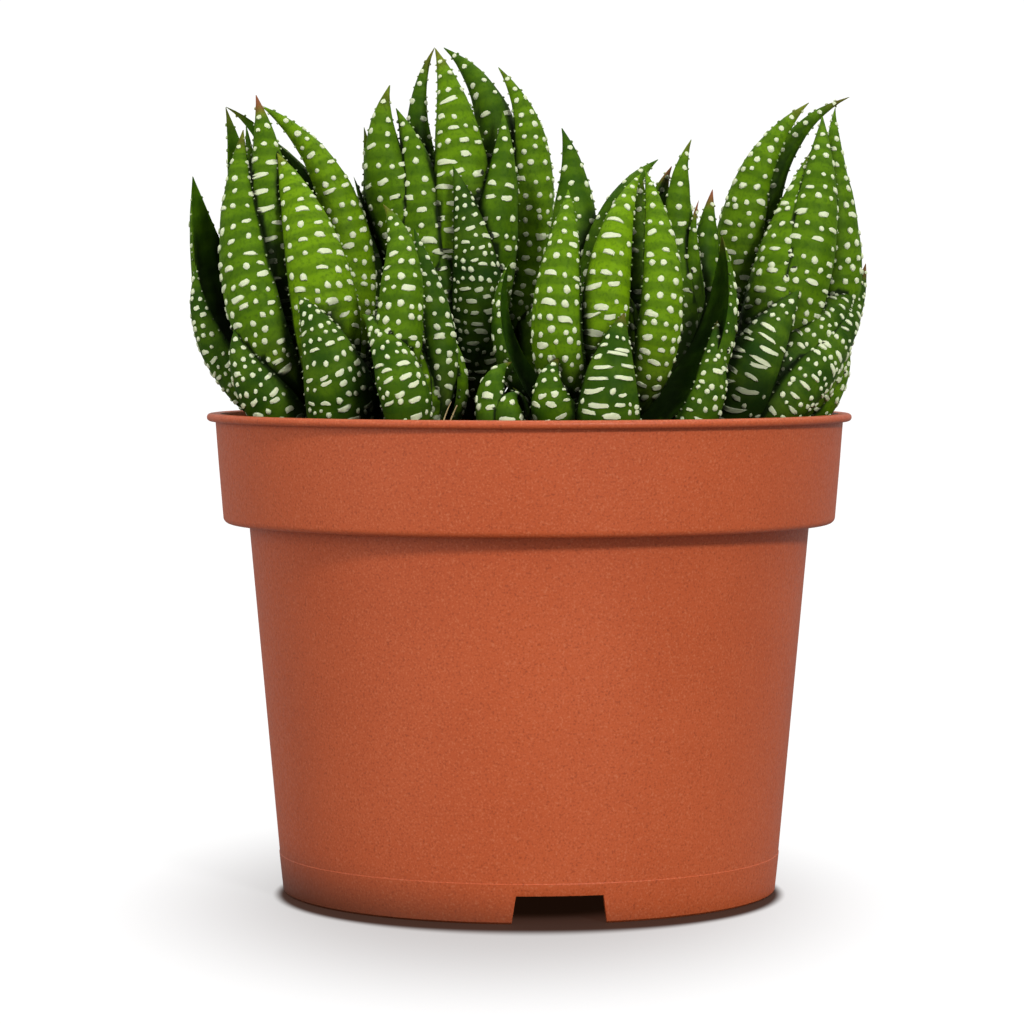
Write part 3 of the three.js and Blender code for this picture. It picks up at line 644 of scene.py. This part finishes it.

# A leaf's row is a point low on it, its middle and its tip, x, y and z each, its greatest width, the
# way its back faces in degrees from the front towards the right, its pattern, how bright its green
# is, which is partly its own tone and partly painted shade where it lies in shadow, and how brown its
# tip. A hidden leaf's row is the way it faces, its reach and its height.
ROSETTES = {
    "rosette_left": dict(
        stem=(-38, -7), lean=(-0.2, 0.1),
        leaves=[
            (-53.6, 3, 101, -60, 3, 119, -62.9, 2, 133.3, 12, -130, "plain", 0.6, 0),
            (-52.6, -6, 95, -59.6, -6, 106, -61.8, -4, 116.7, 9.5, -62, "dense", 0.2, 0),
            (-47.3, -18, 101.5, -51.9, -15, 117, -52.7, -8, 141.5, 11, -28, "mixed", 0.62, 0.3),
            (-49.5, -3, 118, -51, -3, 131, -52.6, -2, 142.6, 8.6, -55, "dots", 0.4, 0),
            (-46.4, -11, 112, -47.6, -10, 128.5, -50.6, -4, 148.1, 10.5, -8, "bands", 0.6, 1),
            (-36.5, -21, 104.5, -39.3, -19, 119, -46.3, -10, 137.1, 12.2, 6, "mixed", 0.95, 0.3),
            (-34, -28, 93.5, -36.3, -29.5, 101, -41.4, -27.5, 110.8, 13.4, 2, "dense", 0.2, 0),
            (-46.5, -19, 91, -50.5, -20, 96.5, -53.3, -19, 105.6, 10.5, -32, "dense", 0.15, 0),
            (-32.9, -3, 111, -35.5, -3, 128.2, -50, -1, 146.4, 9.4, 32, "mixed", 0.9, 0),
            (-34, 5, 115, -40.7, 6, 130.2, -50.2, 4, 141.8, 8.6, 125, "few", 0.2, 0),
            (-30, 4, 114, -31, 5, 125, -33, 6, 133.4, 7, 75, "few", 0.35, 0),
            (-52.6, 5, 124, -54.9, 6, 137, -57, 6, 146.4, 9, -145, "plain", 0.6, 0.2),
            (-46, 9, 130, -51, 9, 141.5, -57.1, 8, 146.6, 6.5, 160, "plain", 0.4, 0.2),
        ],
        hidden=[(150, 12, 48), (-165, 13, 42), (165, 15, 27), (112, 13, 29)],
    ),
    "rosette_front_left": dict(
        stem=(-20.5, -30), lean=(-0.08, 0.12),
        leaves=[
            (-23.2, -36, 102.5, -22.6, -34, 115.5, -26.2, -27, 127.2, 8.6, -6, "dots", 0.55, 0.3),
            (-15.8, -29, 96, -17, -28, 108.5, -20.8, -24, 123.1, 6.4, 40, "dots", 0.22, 0),
            (-21.8, -41, 92.5, -24.4, -39, 100.3, -29.7, -33, 107.5, 8.8, 4, "dense", 0.3, 0),
        ],
        hidden=[(-165, 8, 33), (120, 7, 26)],
    ),
    "rosette_back": dict(
        stem=(-12, 15), lean=(-0.02, -0.06),
        leaves=[
            (-27.7, 11, 122, -29.5, 10, 133, -31.1, 8, 142.8, 9.4, -50, "dots", 0.6, 0.2),
            (-23.1, 4, 124, -27.4, 3, 138.6, -26.1, 4, 150.4, 13.8, -14, "mixed", 0.62, 0.2),
            (-19, 1, 121.5, -20.9, 2, 134.5, -25, 6, 146.2, 11.6, 0, "mixed", 0.6, 0),
            (-18.9, 10, 131, -20.9, 11, 147, -17.9, 12, 158, 8.6, -35, "few", 0.4, 0.3),
            (-12.4, 1, 128, -13.8, 3, 144, -17.7, 9, 157.6, 12.7, 2, "bands", 0.8, 0.3),
            (-5.1, 9, 132, -8.7, 11, 149.4, -16.2, 14, 158.1, 11.8, 14, "few", 0.4, 0),
            (-1.5, 7, 121, 0, 7, 141, -5.8, 8, 154, 11, 26, "dots", 0.75, 0.1),
            (-7, -2, 119, -5.1, -2, 132.5, -4.9, 3, 145.5, 10, 4, "mixed", 0.42, 0),
            (-9.5, -5, 113, -11, -6, 123.5, -14.1, -5.5, 135, 10.5, -4, "dense", 0.02, 0),
            (-15.5, 0, 110, -16.8, 1, 121.5, -16.8, 4, 133.7, 10, -40, "dense", 0.02, 0),
        ],
        hidden=[(100, 12, 50), (150, 13, 58), (-155, 13, 61), (-105, 12, 50),
                (70, 13, 31), (125, 15, 31), (-180, 16, 32), (-130, 12, 30)],
    ),
    "rosette_front": dict(
        stem=(15, -22), lean=(0.04, 0.08),
        leaves=[
            (-1.5, -29, 98.5, -4.4, -28, 108.3, -3.5, -26, 116.9, 9.4, -106, "dots", 0.3, 0),
            (8, -14, 120, 8.2, -12, 131, 6, -10, 141.7, 10.8, 5, "few", 0.35, 0),
            (5.3, -35, 101, 5.4, -34, 113.6, 7, -26, 129.9, 9.6, -20, "dots", 0.78, 0),
            (13.4, -34, 104.5, 14.9, -32, 119, 20.1, -22, 132.8, 8.6, -8, "bands", 1, 0),
            (13.2, -20, 116, 16.8, -19, 128, 23.5, -16, 135.7, 9.4, -38, "few", 0.35, 0),
            (23, -34, 104, 23.5, -31, 118, 21, -22, 133.4, 8, 14, "mixed", 0.85, 0),
            (27.4, -17, 112, 27, -16, 126.5, 29.7, -12, 139.5, 9.2, 35, "few", 0.55, 0.2),
            (20, -15, 112, 20, -13.5, 123, 20.4, -14, 133.4, 10.5, 0, "few", 0.5, 0.2),
            (23.4, -12, 118, 23.6, -11, 127, 26.2, -10, 134.7, 9.5, 0, "few", 0.5, 0.9),
            (30, -18, 112, 29.6, -19, 121, 30.8, -18.5, 128.2, 5, 40, "few", 0.5, 1),
            (30.5, -26, 99.5, 34.2, -23, 110.5, 34.9, -21, 121.7, 12, 116, "dots", 0.3, 0.2),
            (31.3, -12, 111, 32.4, -11, 121, 33.8, -8, 130.5, 9.2, 24, "few", 0.4, 1),
            (14, -43, 92.5, 14.7, -42.5, 99, 16.8, -39.5, 107.7, 11.5, 2, "arcs", 0.2, 0.3),
            (6.5, -38, 87, 3.6, -42.5, 93.5, 5.4, -38, 100, 10, -14, "dense", 0.35, 0.3),
            (31.4, -31.5, 92, 33, -30, 98.5, 34, -25, 106.5, 7.4, 24, "dense", 0.18, 0.3),
        ],
        hidden=[(-125, 11, 38), (180, 13, 44), (128, 12, 38), (-155, 13, 26)],
    ),
    "rosette_right": dict(
        stem=(38, -6), lean=(0.26, 0.1),
        leaves=[
            (39.2, 0, 120, 43.1, 0, 135.3, 52.2, 2, 147, 10.2, -34, "dots", 0.75, 0.3),
            (43.8, 6, 126, 48.7, 6, 139, 60.1, 6, 148.3, 6.8, -20, "few", 0.4, 0.3),
            (44.7, -12, 110, 48.9, -8, 126.2, 52.4, -2, 137.9, 10.6, -16, "dots", 0.75, 0.2),
            (49.6, -12, 112, 52.9, -9, 127.7, 54.6, 0, 144.4, 10.4, 6, "mixed", 0.6, 0),
            (57.5, -4, 112, 57.2, -3, 129, 57.3, 4, 146.2, 8.9, 34, "dots", 0.62, 0),
            (45.5, -18.5, 90.3, 55.9, -10, 102.4, 62.7, -1, 117, 9.2, 40, "dense", 0.15, 0.7),
            (46, -15, 96.5, 53.6, -10.5, 105, 60.9, -3, 115.3, 10, 14, "dense", 0.12, 0.3),
            (38.5, -20, 94, 43, -20, 103, 49.2, -18, 112, 11.5, -14, "arcs", 0.02, 0),
        ],
        hidden=[(85, 13, 40), (125, 13, 52), (170, 13, 55), (-145, 12, 46),
                (105, 15, 28), (150, 16, 28), (-165, 15, 28)],
    ),
    "rosette_small": dict(
        stem=(-4.5, -37.5), lean=(0, 0),
        leaves=[
            (-6.5, -39, 91, -6.3, -38, 95, -3.1, -35, 99, 6.5, -42, "dots", 0.32, 0.4),
            (-3.5, -41.5, 88.5, -3.6, -41.5, 91.3, -1.6, -39, 93.6, 5.5, -8, "bands", 0.28, 0.4),
        ],
        hidden=[(110, 3, 11), (-140, 3.5, 13)],
    ),
    "rosette_back_right": dict(
        stem=(21, 30), lean=(0.05, 0.05),
        leaves=[],
        hidden=[(-20, 13, 29), (52, 13, 30), (124, 13, 29), (-164, 13, 29),
                (-92, 13, 28), (20, 6.5, 36), (140, 6.5, 37), (-100, 6.5, 36)],
    ),
    "rosette_back_left": dict(
        stem=(-37.5, 25.5), lean=(-0.05, 0.05),
        leaves=[],
        hidden=[(-20, 10, 27), (52, 9, 26), (124, 10, 28), (-164, 9, 28),
                (-92, 9, 27), (20, 5, 34), (140, 5, 34), (-100, 5, 34)],
    ),
}


def width_share(share):
    """A slender tip that swells to the widest place, and then a narrower root."""
    from_tip = 1 - share
    if from_tip > WIDEST:
        return 1 - (1 - ROOT_WIDTH) * ((from_tip - WIDEST) / (1 - WIDEST)) ** 2
    return max(TIP_WIDTH, math.sin(from_tip / WIDEST * math.pi / 2) ** TAPER)


def leaf_run(points, width, facing):
    """The leaf's middle, side, back and width at equal steps from root to tip, and its length."""
    reach = [0.0]
    for one, other in zip(points, points[1:]):
        reach.append(reach[-1] + (other - one).length)

    def place(share):
        at, spot = share * reach[3], Vector((0, 0, 0))
        for i, corner in enumerate(points):
            weight = 1.0
            for j in range(4):
                if j != i:
                    weight *= (at - reach[j]) / (reach[i] - reach[j])
            spot += corner * weight
        return spot

    turn = math.radians(facing)
    stations = []
    for i in range(LEAF_STEPS + 1):
        share = i / LEAF_STEPS
        along = (place(share + NUDGE) - place(share - NUDGE)).normalized()
        outward = Vector((math.sin(turn), -math.cos(turn), -ROOT_TILT * (1 - share) ** 4))
        back = (outward - along * outward.dot(along)).normalized()
        stations.append((place(share), along.cross(back), back, width * width_share(share)))
    return stations, reach[3]


def stations_at(stations, share):
    """The stations before and after a share of the length, and how far it lies between them."""
    at = min(max(share, 0.0), 1.0) * LEAF_STEPS
    i = min(int(at), LEAF_STEPS - 1)
    return stations[i], stations[i + 1], at - i


def width_at(stations, share):
    low, high, part = stations_at(stations, share)
    return low[3] + (high[3] - low[3]) * part


def on_leaf(stations, share, turn, proud=0.0):
    """A point of the skin: turn 0 is the right margin, a quarter turn the keel of the back."""
    low, high, part = stations_at(stations, share)
    middle, side, back = (low[k].lerp(high[k], part) for k in range(3))
    width, sine = width_at(stations, share), math.sin(turn)
    if sine >= 0:
        lift = LEAF_DEPTH * sine ** (BACK_POWER + BACK_KEEL * share)
    else:
        lift = INNER_HOLLOW * sine * sine
    skin = middle + side * (0.5 * math.cos(turn) * width) + back * (lift * width)
    if proud:
        skin += (side * (math.cos(turn) / 0.5) + back * (sine / LEAF_DEPTH)).normalized() * proud
    return skin


def add_bead(bm, run, look, share, across, half_span, radius, height, slant, white):
    """A raised mark at a distance across from the keel: a round dot, or a bar if it has a span."""
    stations, length = run
    width = max(width_at(stations, share), 1.0)
    sides = BAR_SIDES if half_span else DOT_SIDES
    bead = bmesh.ops.create_cone(
        bm, cap_ends=True, segments=sides, radius1=1, radius2=BEAD_CROWN, depth=1
    )["verts"]
    top = next(f for v in bead for f in v.link_faces if len(f.verts) == sides and f.normal.z > 0.5)
    crown = bmesh.ops.poke(bm, faces=[top])["verts"][0]
    colour, spot = bm.verts.layers.float_color["look"], bm.verts.layers.float_vector["span"]
    bend, uneven = slant * BAR_BEND, (share * SCRAMBLE + across) % 1
    lump_x, lump_y, lump_z = BEAD_LUMP_SCALE
    for v in bead + [crown]:
        x, y, low = v.co.x, v.co.y, v.co.z < 0
        if half_span:
            y = math.copysign(abs(y) ** BAR_SQUARE, y)
        lump = 1 + BEAD_LUMPS * noise.noise(Vector((x * lump_x, y * lump_y, uneven * lump_z)))
        x *= (half_span + radius) * lump
        y = y * radius * lump + slant * x + bend * x * x / (half_span + radius)
        rise = -BEAD_SINK if low else (height if v == crown else height * BEAD_SHOULDER)
        angle = math.pi / 2 - (across + x) / (WRAP * width)
        v.co = on_leaf(stations, share + y / length, angle, rise)
        v[colour] = (BEAD_FOOT_WHITE * white if low else white, look[0], look[1], 0.0)
        v[spot] = (across + look[2], share * length + look[3], share)


def add_marks(bm, run, look, pattern, chance):
    """Rows of marks over the back, close together near the root and single near the tip."""
    stations, length = run
    bars, gap, step, size, long_bars, after_bar = PATTERNS[pattern]
    at = ROWS_FROM * length
    while at < ROWS_TO * length:
        share = at / length
        width = width_at(stations, share)
        crowd = 1 - min(max((share - CROWD_FROM) / CROWD_LENGTH, 0.0), 1.0)
        slant = chance.uniform(-ROW_SLANT, ROW_SLANT)
        if width < NARROW:
            radius = DOT_RADIUS * (NARROW_RADIUS[0] + NARROW_RADIUS[1] * width)
            across = chance.uniform(-NARROW_ASIDE, NARROW_ASIDE) * width
            white = chance.uniform(*NARROW_WHITES)
            add_bead(bm, run, look, share, across, 0, radius, BEAD_HEIGHT, 0, white)
            at += chance.uniform(*NARROW_STEPS)
            continue
        edge = ROW_EDGE * width
        across = -edge + chance.uniform(0, gap)
        while across < edge:
            bar = width > BAR_MIN_WIDTH and chance.random() < bars
            half_span = chance.uniform(*BAR_SPANS) * min(1, width / BAR_FULL_WIDTH) if bar else 0
            if bar and long_bars and chance.random() < long_bars:
                half_span = min(half_span + LONG_BAR_EXTRA, LONG_BAR_SHARE * width)
            radius = DOT_RADIUS * chance.uniform(*MARK_SIZES) * (BAR_THIN if bar else 1) * size
            across += half_span + radius
            if across + half_span > edge + ROW_SPILL:
                break
            jitter = chance.uniform(-ROW_JITTER, ROW_JITTER) / length
            height, white = BEAD_HEIGHT * chance.uniform(*MARK_HEIGHTS), chance.uniform(*MARK_WHITES)
            add_bead(bm, run, look, share + jitter, across, half_span, radius, height, slant, white)
            spare = gap * (1 - CROWD_GAP * crowd) * chance.uniform(*MARK_GAPS)
            across += half_span + radius + spare * (after_bar if bar else 1)
        at += (step * (1 - crowd) + CROWD_STEP * crowd) * chance.uniform(*ROW_UNEVEN)


def add_teeth(bm, run, look, chance):
    """Small pale teeth along both margins."""
    stations, length = run
    for margin in (1, -1):
        at = TEETH_FROM * length
        while at < TEETH_TO * length:
            share = at / length
            width = max(width_at(stations, share), 1.0)
            across = margin * (WRAP * width) * (math.pi / 2 - TOOTH_INSET)
            radius, white = TOOTH_RADIUS * chance.uniform(*TOOTH_SIZES), chance.uniform(*TOOTH_WHITES)
            add_bead(bm, run, look, share, across, 0, radius, TOOTH_HEIGHT, 0, white)
            at += TOOTH_STEP * chance.uniform(*TOOTH_STEPS)


def add_leaf(whole, skins, points, width, facing, pattern, shade, brown, chance):
    """One leaf with its marks and teeth, joined to the rosette's mesh, and its bare skin to a list."""
    bm = bmesh.new()
    colour = bm.verts.layers.float_color.new("look")
    spot = bm.verts.layers.float_vector.new("span")
    run = leaf_run(points, width, facing)
    stations, length = run
    look = (shade, brown, chance.uniform(0, PATTERN_SHIFT), chance.uniform(0, PATTERN_SHIFT))
    bmesh.ops.create_cone(bm, cap_ends=True, segments=LEAF_SIDES, radius1=1, radius2=1, depth=1)
    upright = [e for e in bm.edges if abs(e.verts[0].co.z - e.verts[1].co.z) > 0.5]
    bmesh.ops.subdivide_edges(bm, edges=upright, cuts=LEAF_STEPS - 1)
    for v in bm.verts:
        share, turn = v.co.z + 0.5, math.atan2(v.co.y, v.co.x)
        width_here = width_at(stations, share)
        swell = Vector((math.cos(turn), share * length * SWELL_SCALE + look[2], shade))
        proud = SWELL * noise.noise(swell) * min(1.0, width_here / SWELL_WIDTH)
        v.co = on_leaf(stations, share, turn, proud)
        v[colour] = (0.0, shade, brown, min(1.0, max(0.0, -math.sin(turn) * INNER_EDGE)))
        across = 0.5 * math.cos(turn) * width_here
        v[spot] = (across + look[2], share * length + look[3], share)
    bmesh.ops.reverse_faces(bm, faces=bm.faces)
    bm.normal_update()
    bm.verts.index_update()
    first = len(skins["places"])
    skins["places"].extend(v.co.copy() for v in bm.verts)
    skins["normals"].extend(v.normal.copy() for v in bm.verts)
    skins["faces"].extend([first + v.index for v in f.verts] for f in bm.faces)
    add_marks(bm, run, look, pattern, chance)
    add_teeth(bm, run, look, chance)
    joined_to(whole, bm)


def hidden_points(stem, lean, facing, reach, height):
    """A leaf that bows out by its reach and comes in again to its tip."""
    turn = math.radians(facing)
    corners = []
    for out, climb in HIDDEN_BOW:
        rise = height * climb
        corners.append(Vector((
            stem[0] + lean[0] * rise + math.sin(turn) * reach * out,
            stem[1] + lean[1] * rise - math.cos(turn) * reach * out,
            ROOT_Z + rise,
        )))
    return corners


def with_root(stem, corners):
    """A leaf roots low on the stem if it is short and higher if it is tall."""
    climb = ROOT_CLIMB * min(max((corners[2].z - ROOT_Z) / TALLEST - SHORT_SHARE, 0), 1)
    away = Vector((corners[0].x - stem[0], corners[0].y - stem[1], 0)).normalized() * ROOT_REACH
    return [Vector((stem[0], stem[1], ROOT_Z + climb)) + away, *corners]


# The leaf's colours. Along the ramp a leaf goes from its darkest green to its brightest; the darker
# greens are partly the leaf's own tone and partly painted shade.
LEAF_GREENS = (
    (0.0, (0.010, 0.034, 0.003, 1)),
    (0.35, (0.031, 0.083, 0.001, 1)),
    (0.75, (0.098, 0.204, 0.002, 1)),
    (1.0, (0.154, 0.293, 0.002, 1)),
)
CLOUD_GREEN = (0.14, 0.27, 0.008, 1)
STRIPE_GREEN = (0.013, 0.05, 0.003, 1)
FLECK_GREEN = (0.017, 0.052, 0.005, 1)
ROOT_OLIVE = (0.075, 0.085, 0.018, 1)
INNER_GREEN = (0.015, 0.055, 0.001, 1)
TIP_BROWN = (0.23, 0.075, 0.035, 1)
TUBERCLE_WHITE = (0.65, 0.71, 0.46, 1)
# A near-black green, painted shade for the crevices among the leaves.
CREVICE_SHADE_GREEN = (0.005, 0.011, 0.002, 1)

# Mottles, with their values in the pot's order. The grain's cover is the roughness.
LEAF_CLOUDS = (160, 4, 0.3, 0.7, 0, 0.42)
LEAF_FLECKS = (1400, 3, 0.45, 0.75, 0, 0.42)
LEAF_GRAIN = (1400, 3, 0.3, 0.7, 0.5, 0.66)

# What a colour covers: where it starts and ends, and its least and most cover. Stripes go by their
# wave, the root and the tip by the share of the leaf's length, a mark by how pale it is, and the
# painted shade in the crevices by how deep a spot lies. The foot of a leaf of the darkest green gets
# painted shade too.
STRIPE_SCALE, STRIPE_BEND, STRIPE_DETAIL, STRIPE_DETAIL_SCALE = 0.095, 5, 3, 0.5
STRIPE_COVER = (0.2, 0.9, 0, 0.36)
ROOT_COVER = (0.42, 0.12, 0, 0.35)
INNER_COVER = 0.6
TIP_COVER = (0.9, 0.985)
MARK_COVER = (0.22, 0.66)
CREVICE_SHADE_COVER = (0.17, 0.6, 0, 0.96)
# Painted shade at the foot of a leaf of the darkest green.
DIM_SHADE, DIM_FOOT = (0.1, 0.04), (0.66, 0.4, 0, 0.6)
STRIPE_BUMP, STRIPE_BUMP_DEPTH = 0.25, 0.00018
GRAIN_BUMP, GRAIN_BUMP_DEPTH = 0.22, 0.00012
LEAF_GLOSS = 0.05
FLESH_GLOW, FLESH_RADIUS, FLESH_SCALE = 0.05, (0.5, 1.0, 0.2), 0.0015


def carried(tree, name):
    """What a leaf's mesh carries under a name."""
    made = tree.nodes.new("ShaderNodeAttribute")
    made.attribute_name = name
    return made.outputs


leaf_material, tree, shader = new_material("haworthia_leaf")
look = carried(tree, "look")
split = tree.nodes.new("ShaderNodeSeparateColor")
tree.links.new(look["Color"], split.inputs["Color"])
white, shade, brown = (split.outputs[name] for name in ("Red", "Green", "Blue"))
span = carried(tree, "span")["Vector"]
share = axes(tree, span)["Z"]
depth = carried(tree, "depth")["Fac"]
place = tree.nodes.new("ShaderNodeTexCoord").outputs["Object"]

greens = tree.nodes.new("ShaderNodeValToRGB")
for position, _ in LEAF_GREENS[1:-1]:
    greens.color_ramp.elements.new(position)
for element, (position, green) in zip(greens.color_ramp.elements, LEAF_GREENS):
    element.position, element.color = position, green
tree.links.new(shade, greens.inputs["Fac"])

stripes = tree.nodes.new("ShaderNodeTexWave")
stripes.bands_direction = "Y"
stripes.inputs["Scale"].default_value = STRIPE_SCALE
stripes.inputs["Distortion"].default_value = STRIPE_BEND
stripes.inputs["Detail"].default_value = STRIPE_DETAIL
stripes.inputs["Detail Scale"].default_value = STRIPE_DETAIL_SCALE
tree.links.new(span, stripes.inputs["Vector"])
wave = stripes.outputs["Fac"]

grain = mottled(tree, place, LEAF_GRAIN)
tip = sums(tree, "MULTIPLY", between(tree, share, *TIP_COVER), brown)
# Painted shade: at the foot of a leaf of the darkest green, and where a spot lies deep among the leaves.
dim = sums(tree, "MULTIPLY", between(tree, shade, *DIM_SHADE), between(tree, share, *DIM_FOOT))
painted_shade = sums(tree, "MAXIMUM", dim, between(tree, depth, *CREVICE_SHADE_COVER))
colour = greens.outputs["Color"]
for cover, over in (
    (mottled(tree, place, LEAF_CLOUDS)["Cover"], CLOUD_GREEN),
    (between(tree, wave, *STRIPE_COVER), STRIPE_GREEN),
    (mottled(tree, place, LEAF_FLECKS)["Cover"], FLECK_GREEN),
    (between(tree, share, *ROOT_COVER), ROOT_OLIVE),
    (sums(tree, "MULTIPLY", look["Alpha"], INNER_COVER), INNER_GREEN),
    (tip, TIP_BROWN),
    (between(tree, white, *MARK_COVER), TUBERCLE_WHITE),
    (painted_shade, CREVICE_SHADE_GREEN),
):
    colour = blended(tree, cover, colour, over)
skin = bumped(tree, wave, STRIPE_BUMP, STRIPE_BUMP_DEPTH)
skin = bumped(tree, grain["Noise"], GRAIN_BUMP, GRAIN_BUMP_DEPTH, skin)
tree.links.new(colour, shader.inputs["Base Color"])
tree.links.new(grain["Cover"], shader.inputs["Roughness"])
tree.links.new(skin, shader.inputs["Normal"])
shader.inputs["Specular IOR Level"].default_value = LEAF_GLOSS
shader.inputs["Subsurface Weight"].default_value = FLESH_GLOW
shader.inputs["Subsurface Radius"].default_value = FLESH_RADIUS
shader.inputs["Subsurface Scale"].default_value = FLESH_SCALE

skins = {"places": [], "normals": [], "faces": []}
wholes = {}
for number, (name, rosette) in enumerate(ROSETTES.items()):
    chance = random.Random(LEAF_SEED + number)
    stem, lean = rosette["stem"], rosette["lean"]
    whole = wholes[name] = bmesh.new()
    whole.verts.layers.float_color.new("look")
    whole.verts.layers.float_vector.new("span")
    leaves = []
    for row in rosette["leaves"]:
        corners = [Vector(row[i:i + 3]) for i in (0, 3, 6)]
        leaves.append((corners, *row[9:]))
    for facing, reach, height in rosette["hidden"]:
        corners = hidden_points(stem, lean, facing, reach, height)
        width = SMALL_HIDDEN_WIDTH if reach < SMALL_REACH else HIDDEN_WIDTH
        shade = chance.uniform(*HIDDEN_SHADES)
        leaves.append((corners, width, facing, chance.choice(HIDDEN_PATTERNS), shade, HIDDEN_BROWN))
    heart = max(corners[2].z for corners, *_ in leaves) - ROOT_Z
    if heart > TALL_HEART:
        width, *young = YOUNG_LOOK
        for i in range(YOUNG_LEAVES):
            facing = 360 / YOUNG_LEAVES * i + chance.uniform(-YOUNG_TURN, YOUNG_TURN)
            height = heart * chance.uniform(*YOUNG_HEIGHTS)
            corners = hidden_points(stem, lean, facing, YOUNG_REACH, height)
            leaves.append((corners, width, facing, *young))
    top = ROOT_Z
    for corners, width, facing, pattern, shade, brown in leaves:
        points = with_root(stem, corners)
        top = max(top, points[0].z)
        add_leaf(whole, skins, points, width, facing, pattern, shade, brown, chance)
    middle = Matrix.Translation((stem[0], stem[1], (HOLE_FLOOR + top) / 2))
    bmesh.ops.create_cone(
        whole, cap_ends=True, segments=STEM_SIDES, radius1=STEM_RADIUS,
        radius2=STEM_RADIUS - STEM_TAPER, depth=top - HOLE_FLOOR, matrix=middle,
    )

# How deep each spot of skin lies among the leaves: the share of rays from it that soon meet another
# leaf or the soil, where a far meeting counts half. It paints shade into the leaves' colour.
RAYS, RAY_TURN, RAY_START, RAY_GRAZE = 26, 2.39996, 0.3, 0.1
SHADE_REACH, FAR_LOSS = 20.0, 0.5

clump = BVHTree.FromPolygons(skins["places"], skins["faces"])
rays = []
for i in range(RAYS):
    rise, turn = 1 - (2 * i + 1) / RAYS, RAY_TURN * i
    flat = math.sqrt(1 - rise * rise)
    rays.append(Vector((flat * math.cos(turn), flat * math.sin(turn), rise)))
nearby = KDTree(len(skins["places"]))
depths = []
for i, (spot, normal) in enumerate(zip(skins["places"], skins["normals"])):
    nearby.insert(spot, i)
    met, sent = 0.0, 0
    for ray in rays:
        if ray.dot(normal) < RAY_GRAZE:
            continue
        sent += 1
        reach = clump.ray_cast(spot + normal * RAY_START, ray, SHADE_REACH)[3]
        if reach is None and ray.z < 0 and (SOIL_TOP - spot.z) / ray.z < SHADE_REACH:
            reach = (SOIL_TOP - spot.z) / ray.z
        if reach is not None:
            met += 1 - FAR_LOSS * reach / SHADE_REACH
    depths.append(met / max(sent, 1))
nearby.balance()
for name, whole in wholes.items():
    depth = whole.verts.layers.float.new("depth")
    for v in whole.verts:
        v[depth] = depths[nearby.find(v.co)[1]]
    piece = finished(whole, name.replace("rosette", "leaves"), leaf_material, LEAF_SMOOTH)
    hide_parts(name)
    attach(piece, "root")
